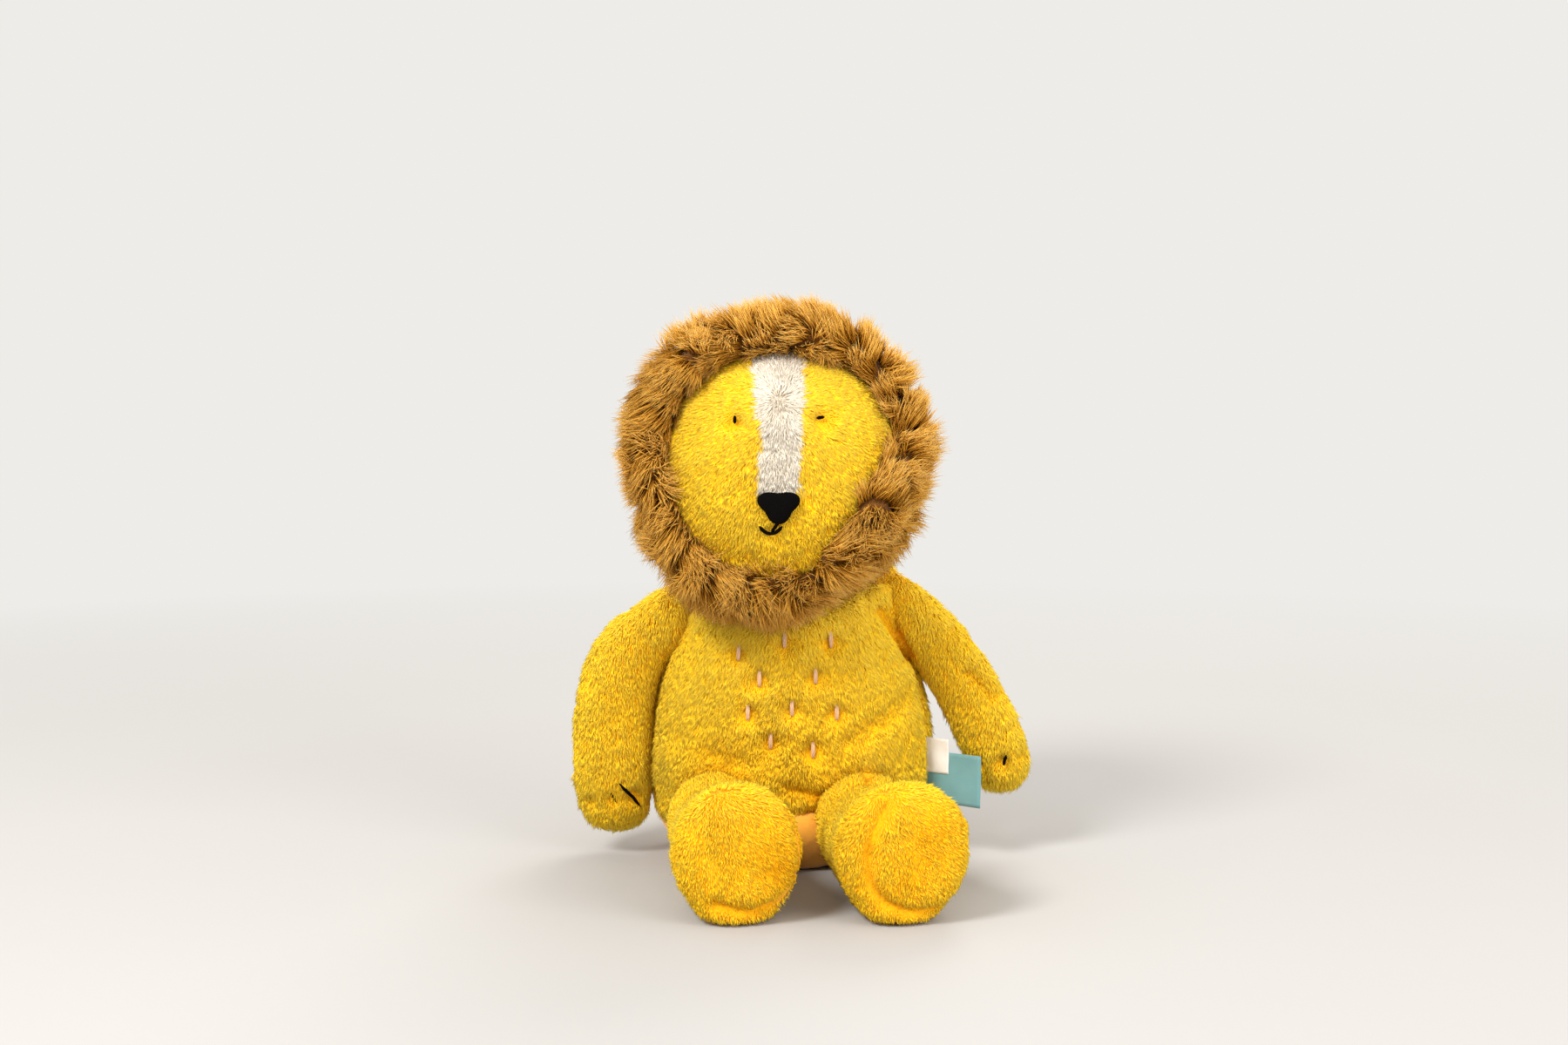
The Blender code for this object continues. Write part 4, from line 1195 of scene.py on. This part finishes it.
# %% Grow the pile on part of a skin
YELLOW = {
    "Lock size": 0.0048, "Lock pull": 20.0, "Rise": 0.44, "Lean": 0.85, "Mess": 0.20, "Lock sway": 0.28,
    "Lock curl": 0.5, "Lock tone": 0.14, "Chance tone": 0.10,
}
TAN = {
    "Lock size": 0.0115, "Lock pull": 36.0, "Rise": 0.80, "Lean": 0.50, "Mess": 0.26, "Lock sway": 0.84,
    "Lock curl": 2.6, "Lock tone": 0.50, "Chance tone": 0.20,
}
NAPE = TAN | {"Lock size": 0.0090, "Rise": 0.55, "Lean": 0.70, "Lock sway": 0.75, "Lock pull": 30.0}
TUFT = TAN | {"Rise": 0.40, "Lean": 0.85, "Lock sway": 0.5}
SHORT = (YELLOW, short_hair, yellow_pile)
STRIPED = (YELLOW, short_hair, cream_pile)
LONG = (TAN, long_hair, tan_pile)
COARSE = (NAPE, plain_hair, tan_pile)
TUFTED = (TUFT, long_hair, tan_pile)


def part_of(coat, wanted):
    """A copy of the coat's skin with only the faces that the test keeps."""
    obj = shown("patch", coat.skin.data.copy())
    bm = bmesh.new()
    bm.from_mesh(obj.data)
    spare = [f for f in bm.faces if not wanted(f.calc_center_median())]
    bmesh.ops.delete(bm, geom=spare, context="FACES")
    bm.to_mesh(obj.data)
    bm.free()
    return obj


def grow(name, key, kind, per_mm2, seed, wanted=lambda spot: True, slot=None):
    """Grows one piece of pile, of so many hairs to a square millimetre, where the test wants it."""
    coat = coats[key]
    sizes, single, finish = kind
    values = sizes | {"Hairs per area": per_mm2 * 1e6, "Seed": seed, "Hair": single, "Finish": finish}
    mesh = pile_board.run(part_of(coat, wanted), values)
    mesh.name = name
    piece = shown(name, mesh)
    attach(piece, coat.body)
    slot or coat.slot
    print(name, len(mesh.polygons), "faces, maps", [layer.name for layer in mesh.uv_layers])


def in_stripe(spot):
    return float(stripe_edge(np.array([spot]))[0]) > 0


def quarter(turn):
    """A test for the quarter of the mane that starts at this angle."""
    return lambda s: turn <= math.atan2(s.z - HEAD.z, s.x - HEAD.x) < turn + math.pi / 2


grow("body_pile_front_left", "torso", SHORT, 3.2, 11, lambda s: s.y < SEAM_Y and s.x < 0)
grow("body_pile_front_right", "torso", SHORT, 3.2, 12, lambda s: s.y < SEAM_Y and s.x >= 0)
grow("body_pile_back_left", "torso", SHORT, 1.0, 13, lambda s: s.y >= SEAM_Y and s.x < 0)
grow("body_pile_back_right", "torso", SHORT, 1.0, 14, lambda s: s.y >= SEAM_Y and s.x >= 0)
for seed, limb in enumerate(LIMBS, 20):
    grow(f"{limb}_pile", limb, SHORT, 1.9 if limb in ARMS else 1.6, seed)
grow("face_pile_left", "face", SHORT, 2.9, 31, lambda s: not in_stripe(s) and s.x < HEAD.x)
grow("face_pile_right", "face", SHORT, 2.9, 33, lambda s: not in_stripe(s) and s.x >= HEAD.x)
grow("face_stripe_pile", "face", STRIPED, 3.0, 32, in_stripe, "cream_plush")
for i in range(4):
    grow(f"mane_pile_{i + 1}", "strip", LONG, 1.22, 41 + i, quarter(math.pi / 2 * i - math.pi))
grow("nape_pile_left", "nape", COARSE, 0.55, 51, lambda s: s.x < HEAD.x)
grow("nape_pile_right", "nape", COARSE, 0.55, 52, lambda s: s.x >= HEAD.x)
grow("tail_pile", "tail", SHORT, 1.2, 61)
grow("tail_tuft_pile", "tuft", TUFTED, 0.9, 62)
for single in singles:
    bpy.data.objects.remove(single, do_unlink=True)

# %% [markdown]
# ## The skins take their places
# Each skin replaces the solids it was made from, and rides on their body.


# %% Finish the skins
def bag(obj, cloth, names, body):
    obj.data.materials.clear()
    obj.data.materials.append(cloth)
    for name in NOTES:
        if name in obj.data.attributes:
            obj.data.attributes.remove(obj.data.attributes[name])
    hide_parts(*names)
    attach(obj, body)
    print(obj.name, "stands for", names)


bag(torso, yellow_cloth, TORSO_NODES, "torso")
bag(face, face_cloth, FACE_NODES, "head")
bag(nape, tan_cloth, ["head_back_panel", "mane_back_panel"], "head")
bag(strip, tan_cloth, ["mane_band"], "head")
for limb in LIMBS:
    bag(limbs[limb], yellow_cloth, limb_nodes[limb], limb)
bag(tail, yellow_cloth, ["tail_tube"], "tail")
bag(tuft, tan_cloth, ["tail_tuft"], "tail")

# %% [markdown]
# ## The seat and the neck
# Under the body the maker sewed a smooth tan-orange panel of brushed knit, which shows between the legs.
# The neck's gusset is a disc of cloth hidden between head and body.

# %% Seat cloth and gusset
SEAT_TOP = 0.036
SEAT_BULGE, SEAT_BULGE_X, SEAT_BULGE_WIDTH = 0.0080, 0.008, 0.022

board = Finish("brushed_knit", Roughness=0.9, Sheen_Weight=0.4, Sheen_Roughness=0.5, Specular_IOR_Level=0.15)
place = board.place()
cloud, fibre = board.noise(place, 90.0, 5.0), board.noise(place, 1400.0, 2.0)
board.feed("Base Color", board.blend(cloud * 0.6 + fibre * 0.4, paint(226, 146, 34), paint(244, 180, 70)))
board.bump(fibre + cloud, 0.5, 0.0006)

seat = wrap("seat_cloth_bag", ["seat_panel", "bean_pouch"], 0.004, convex=True)
place, normal = spots(seat.data)
x, z, facing = place[:, :1], place[:, 2:], normal[:, 1:2]
inner = unit(z / 0.004)
top = unit((SEAT_TOP - z) / 0.012)
bulge = bell(x - SEAT_BULGE_X, SEAT_BULGE_WIDTH) * unit(-facing) * np.sqrt(top)
between = bell(x - BETWEEN_LEGS[0], BETWEEN_LEGS[1], 4) * (facing < 0)
move_to(seat.data, place + normal * (0.0010 * between + SEAT_BULGE * bulge) * inner)
place, _ = spots(seat.data)
place[:, 2] = np.clip(place[:, 2], 0.0, SEAT_TOP)
move_to(seat.data, place)
smooth(seat)
bag(seat, board.material, ["seat_panel"], "torso")

gusset = wrap("neck_gusset_cloth", ["neck_gusset"], 0.0015)
bag(gusset, yellow_cloth, ["neck_gusset"], "neck")

# %% [markdown]
# ## Thread
# The nose is satin stitch: hundreds of black threads side by side that fill a rounded triangle. The mouth,
# the eyes and the claws are single lines of the same thread, and the chest has ten short pale stitches.


# %% Thread finishes
def thread_finish(name, deep, light, rough, shine, ways):
    board = Finish(name, Roughness=rough, Specular_IOR_Level=shine)
    place = board.place()
    wobble = board.noise(place, 260.0, 2.0)
    ridge = (board.vector("DOT_PRODUCT", place, ways) * 9000.0 + wobble * 5.0).sine()
    board.feed("Base Color", board.blend(ridge * 0.35 + wobble * 0.5, deep, light))
    board.bump(ridge, 0.6, 0.0003)
    return board.material


black_thread = thread_finish("black_thread", paint(3, 2, 2), paint(14, 11, 10), 0.8, 0.05, (0.9, 0.0, 0.35))
pale_deep, pale_light = paint(206, 160, 120), paint(240, 206, 172)
pale_thread = thread_finish("pale_thread", pale_deep, pale_light, 0.5, 0.4, (0.95, 0.0, 0.1))
print("threads:", black_thread.name, pale_thread.name)


def cast(skin, x, z, y=-0.1):
    """The front of a skin at this place, or else its nearest point, and the normal there."""
    tree = BVHTree.FromObject(skin, bpy.context.evaluated_depsgraph_get())
    found, facing, _, _ = tree.ray_cast(Vector((x, -1, z)), Vector((0, 1, 0)))
    if found is None:
        found, facing, _, _ = tree.find_nearest(Vector((x, y, z)))
    return found, facing


def on_face(x, z, proud):
    found, _ = cast(face, x, z)
    return Vector((x, found.y - proud, z))


def thread(name, line, radius):
    """A line of black thread through points, as a closed tube with round ends."""
    steps = [0.35] + [1.0] * (len(line) - 2) + [0.35]
    obj = sweep(name, [(point, radius * step) for point, step in zip(line, steps)], 8)
    obj.data.materials.append(black_thread)
    return obj


def sewn(obj, names, body):
    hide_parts(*names)
    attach(obj, body)
    print(obj.name, "is sewn on the", body)


# %% The nose: a rounded triangle on its tip, domed, with its side going down to the skin
NOSE_POINTS = 48
NOSE_ROWS = (  # how wide, and how far in front of the skin
    (1.0, -0.0005), (1.0, 0.0042), (0.96, 0.0054), (0.84, 0.0062), (0.6, 0.0067), (0.3, 0.0069)
)
wide, high = (nose_high.x - nose_low.x) / 2, (nose_high.z - nose_low.z) / 2
bm = bmesh.new()
rows = []
for share, proud in NOSE_ROWS:
    row = []
    for i in range(NOSE_POINTS):
        turn = 2 * math.pi * i / NOSE_POINTS + math.pi / 2
        reach = (1 + 0.19 * math.cos(3 * (turn + math.pi / 2))) / 1.12 * share
        x = nose_spot.x + wide * math.cos(turn) * reach
        z = nose_spot.z + high * (math.sin(turn) * reach * 1.13 + 0.17)
        row.append(bm.verts.new(on_face(x, z, proud)))
    rows.append(row)
close_rows(bm, rows, [on_face(nose_spot.x, nose_spot.z, proud) for proud in (-0.0005, 0.007)])
satin = mesh_of("nose_satin", bm)
satin.shade_smooth()
satin.materials.append(black_thread)
sewn(shown("nose_satin", satin), ["nose"], "head")

# %% The mouth, as one smile and the line that leads up to the nose
mouth_low, mouth_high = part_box("mouth")
smile_x, smile_half = (mouth_low.x + mouth_high.x) / 2, (mouth_high.x - mouth_low.x) / 2 - 0.0006
smile_z = mouth_low.z + 0.0028
smile = []
for i in range(13):
    s = i / 6 - 1
    smile.append(on_face(smile_x + smile_half * s, smile_z + 0.0042 * s * s, 0.0040))
stem = []
for s in [i / 6 for i in range(7)]:
    x = nose_spot.x + (smile_x + 0.0004 - nose_spot.x) * s
    stem.append(on_face(x, nose_low.z + 0.001 + (smile_z - nose_low.z) * s, 0.0042))
smile_thread = thread("mouth_smile_thread", smile, 0.00105)
stem_thread = thread("mouth_stem_thread", stem, 0.0010)
sewn(smile_thread, ["mouth"], "head")
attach(stem_thread, "head")
print("the smile is", round(2000 * smile_half, 1), "mm wide")

# %% The eyes and the claws. Two claws lie on the pile, and the others are under it.
for name in ("eye_left", "eye_right"):
    low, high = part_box(name)
    centre = (low + high) / 2 + EYE_SHIFT
    upright = high.z - low.z > high.x - low.x
    half = Vector((0, 0, 0.0022)) if upright else Vector((0.0022, 0, 0.0003))
    line = [on_face(*(centre + half * s).xz, 0.0030) for s in (-1, -0.6, 0, 0.6, 1)]
    sewn(thread(f"{name}_thread", line, 0.00095), [name], "head")
for arm in ARMS:
    for i in (1, 2, 3):
        claw = f"{side_of(arm)}_claw_{i}"
        low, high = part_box(claw)
        centre = (low + high) / 2
        clear = (arm, i) in SHOWN_CLAWS
        if clear and arm == "left_arm":
            half = Vector((0.0064, 0, -0.0100))
            centre.x -= 0.0035
        else:
            half = Vector((0.0030 if arm == "left_arm" else -0.0010, 0, -0.3 * (high.z - low.z)))
            centre.x += 0.001
        proud = 0.0034 if clear else -0.0002
        line = []
        for s in (-1, -0.6, -0.2, 0.2, 0.6, 1):
            spot = centre + half * s * 0.8
            found, facing = cast(limbs[arm], spot.x, spot.z, spot.y)
            line.append(found + facing * proud)
        sewn(thread(f"{claw}_thread", line, 0.0010), [claw], arm)

# %% Chest stitches, placed by nodes
STITCH_LENGTH = 0.0100
STITCH_PROUD = 0.0016
STITCH_INPUTS = {"Places": "Geometry", "Length": "Float", "Bundle": "Object", "Finish": "Material"}


def stitch_nodes():
    """Puts one bundle of threads at each vertex, turned by the vertex's own directions."""
    board = Grower("stitches", STITCH_INPUTS, "Stitches")
    facing, along = (board.attribute(name, "FLOAT_VECTOR") for name in ("facing", "along"))
    points = board.node("GeometryNodeMeshToPoints", None, {"Mesh": board.given("Places")})
    scale = board.joined(1.0, 1.0, board.given("Length"))
    return board.done(board.copies(points, "Bundle", board.facing("Z", along, "Y", facing), scale))


def bundle_of_threads():
    """Five slim threads side by side, one unit long, which bow up in the middle."""
    bm = bmesh.new()
    for k in range(5):
        across = (k - 2) * 0.00042
        line = []
        for s in [i / 3 - 1 for i in range(7)]:
            spot = Vector((across * (1 - 0.25 * s * s), 0.0009 * (1 - s * s), s / 2))
            line.append((spot, 0.00034 * (1.02 - 0.6 * s * s)))
        one = sweep("one_thread", line, 6)
        bm.from_mesh(one.data)
        bpy.data.objects.remove(one, do_unlink=True)
    return shown("thread_bundle", mesh_of("thread_bundle", bm))


starts, faces_out, alongs = [], [], []
for spot in chest:
    found, facing = cast(torso, spot.x, spot.z)
    up = Vector((0, 0, 1))
    starts.append(tuple(found + facing * STITCH_PROUD))
    faces_out.append(facing)
    alongs.append((up - facing * up.dot(facing)).normalized())
places = bpy.data.meshes.new("stitch_places")
places.from_pydata(starts, [], [])
note(places, "facing", faces_out)
note(places, "along", alongs)
bundle = bundle_of_threads()
values = {"Length": STITCH_LENGTH, "Bundle": bundle, "Finish": pale_thread}
stitches = shown("chest_stitches", stitch_nodes().run(shown("stitch_places", places), values))
bpy.data.objects.remove(bundle, do_unlink=True)
sewn(stitches, CHEST_STITCHES, "torso")

# %% [markdown]
# ## Labels
# Two tapes are sewn into the side seam. They are woven, so fine ribs cross them, and they stay bare.
# Each is a thin sheet that stands out of the seam and curls a little.

# %% Tapes
TAPE_TURN = math.radians(35)
OUT_WAY = Vector((math.cos(TAPE_TURN), -math.sin(TAPE_TURN), 0))
SIDE_WAY = Vector((math.sin(TAPE_TURN), math.cos(TAPE_TURN), 0))
IN_SEAM = 0.005
COLUMNS, UPS = 16, 14


def tape_finish(name, base, rib):
    board = Finish(name, Roughness=0.55, Sheen_Weight=0.25, Specular_IOR_Level=0.4)
    place = board.place()
    up = (board.parts(place).out("Z") * 9000.0).sine()
    weave = up * board.vector("DOT_PRODUCT", place, (8000, -5600, 0)).sine()
    board.feed("Base Color", board.blend(weave * 0.25 + board.noise(place, 120.0, 3.0) * 0.6, base, rib))
    board.bump(weave, 0.5, 0.0002)
    return board.material


def tape(name, node, finish, curl):
    """A tape that starts inside the seam and ends where its solid does."""
    corners = [Vector(v.co) for v in nodes[node].data.vertices]
    far = max(s.dot(OUT_WAY) for s in corners)
    near = min(s.dot(OUT_WAY) for s in corners) - IN_SEAM
    flat = sum(s.dot(SIDE_WAY) for s in corners) / len(corners)
    low, high = min(s.z for s in corners), max(s.z for s in corners)
    bm = bmesh.new()
    grid = []
    for i in range(COLUMNS + 1):
        s = i / COLUMNS
        row = []
        for k in range(UPS + 1):
            u = k / UPS
            wave = curl * (s * s) * (0.6 + 0.4 * math.cos(2.2 * u + 0.4)) + 0.0003 * math.sin(7 * u + 4 * s)
            place = OUT_WAY * (near + (far - near) * s) + SIDE_WAY * (flat + wave)
            row.append(bm.verts.new((place.x, place.y, low + (high - low) * u)))
        grid.append(row)
    for i in range(COLUMNS):
        for k in range(UPS):
            bm.faces.new((grid[i][k], grid[i + 1][k], grid[i + 1][k + 1], grid[i][k + 1]))
    obj = shown(name, mesh_of(name, bm))
    thickness = obj.modifiers.new("thickness", "SOLIDIFY")
    thickness.thickness = 0.0006
    thickness.offset = 0
    made = applied(obj)
    made.shade_smooth()
    made.materials.append(finish)
    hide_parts(node)
    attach(obj, "torso")
    return obj


white_finish = tape_finish("white_tape", paint(226, 222, 214), paint(246, 244, 238))
white = tape("side_tape_white", "side_label_white", white_finish, 0.0008)
teal_finish = tape_finish("teal_tape", paint(96, 146, 150), paint(126, 174, 174))
teal = tape("side_tape_blue", "side_label_blue", teal_finish, -0.0008)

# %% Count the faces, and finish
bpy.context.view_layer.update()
total = sum(len(p.data.polygons) for p in bpy.context.scene.objects if p.type == "MESH" and not p.hide_render)
print("faces in all:", total)
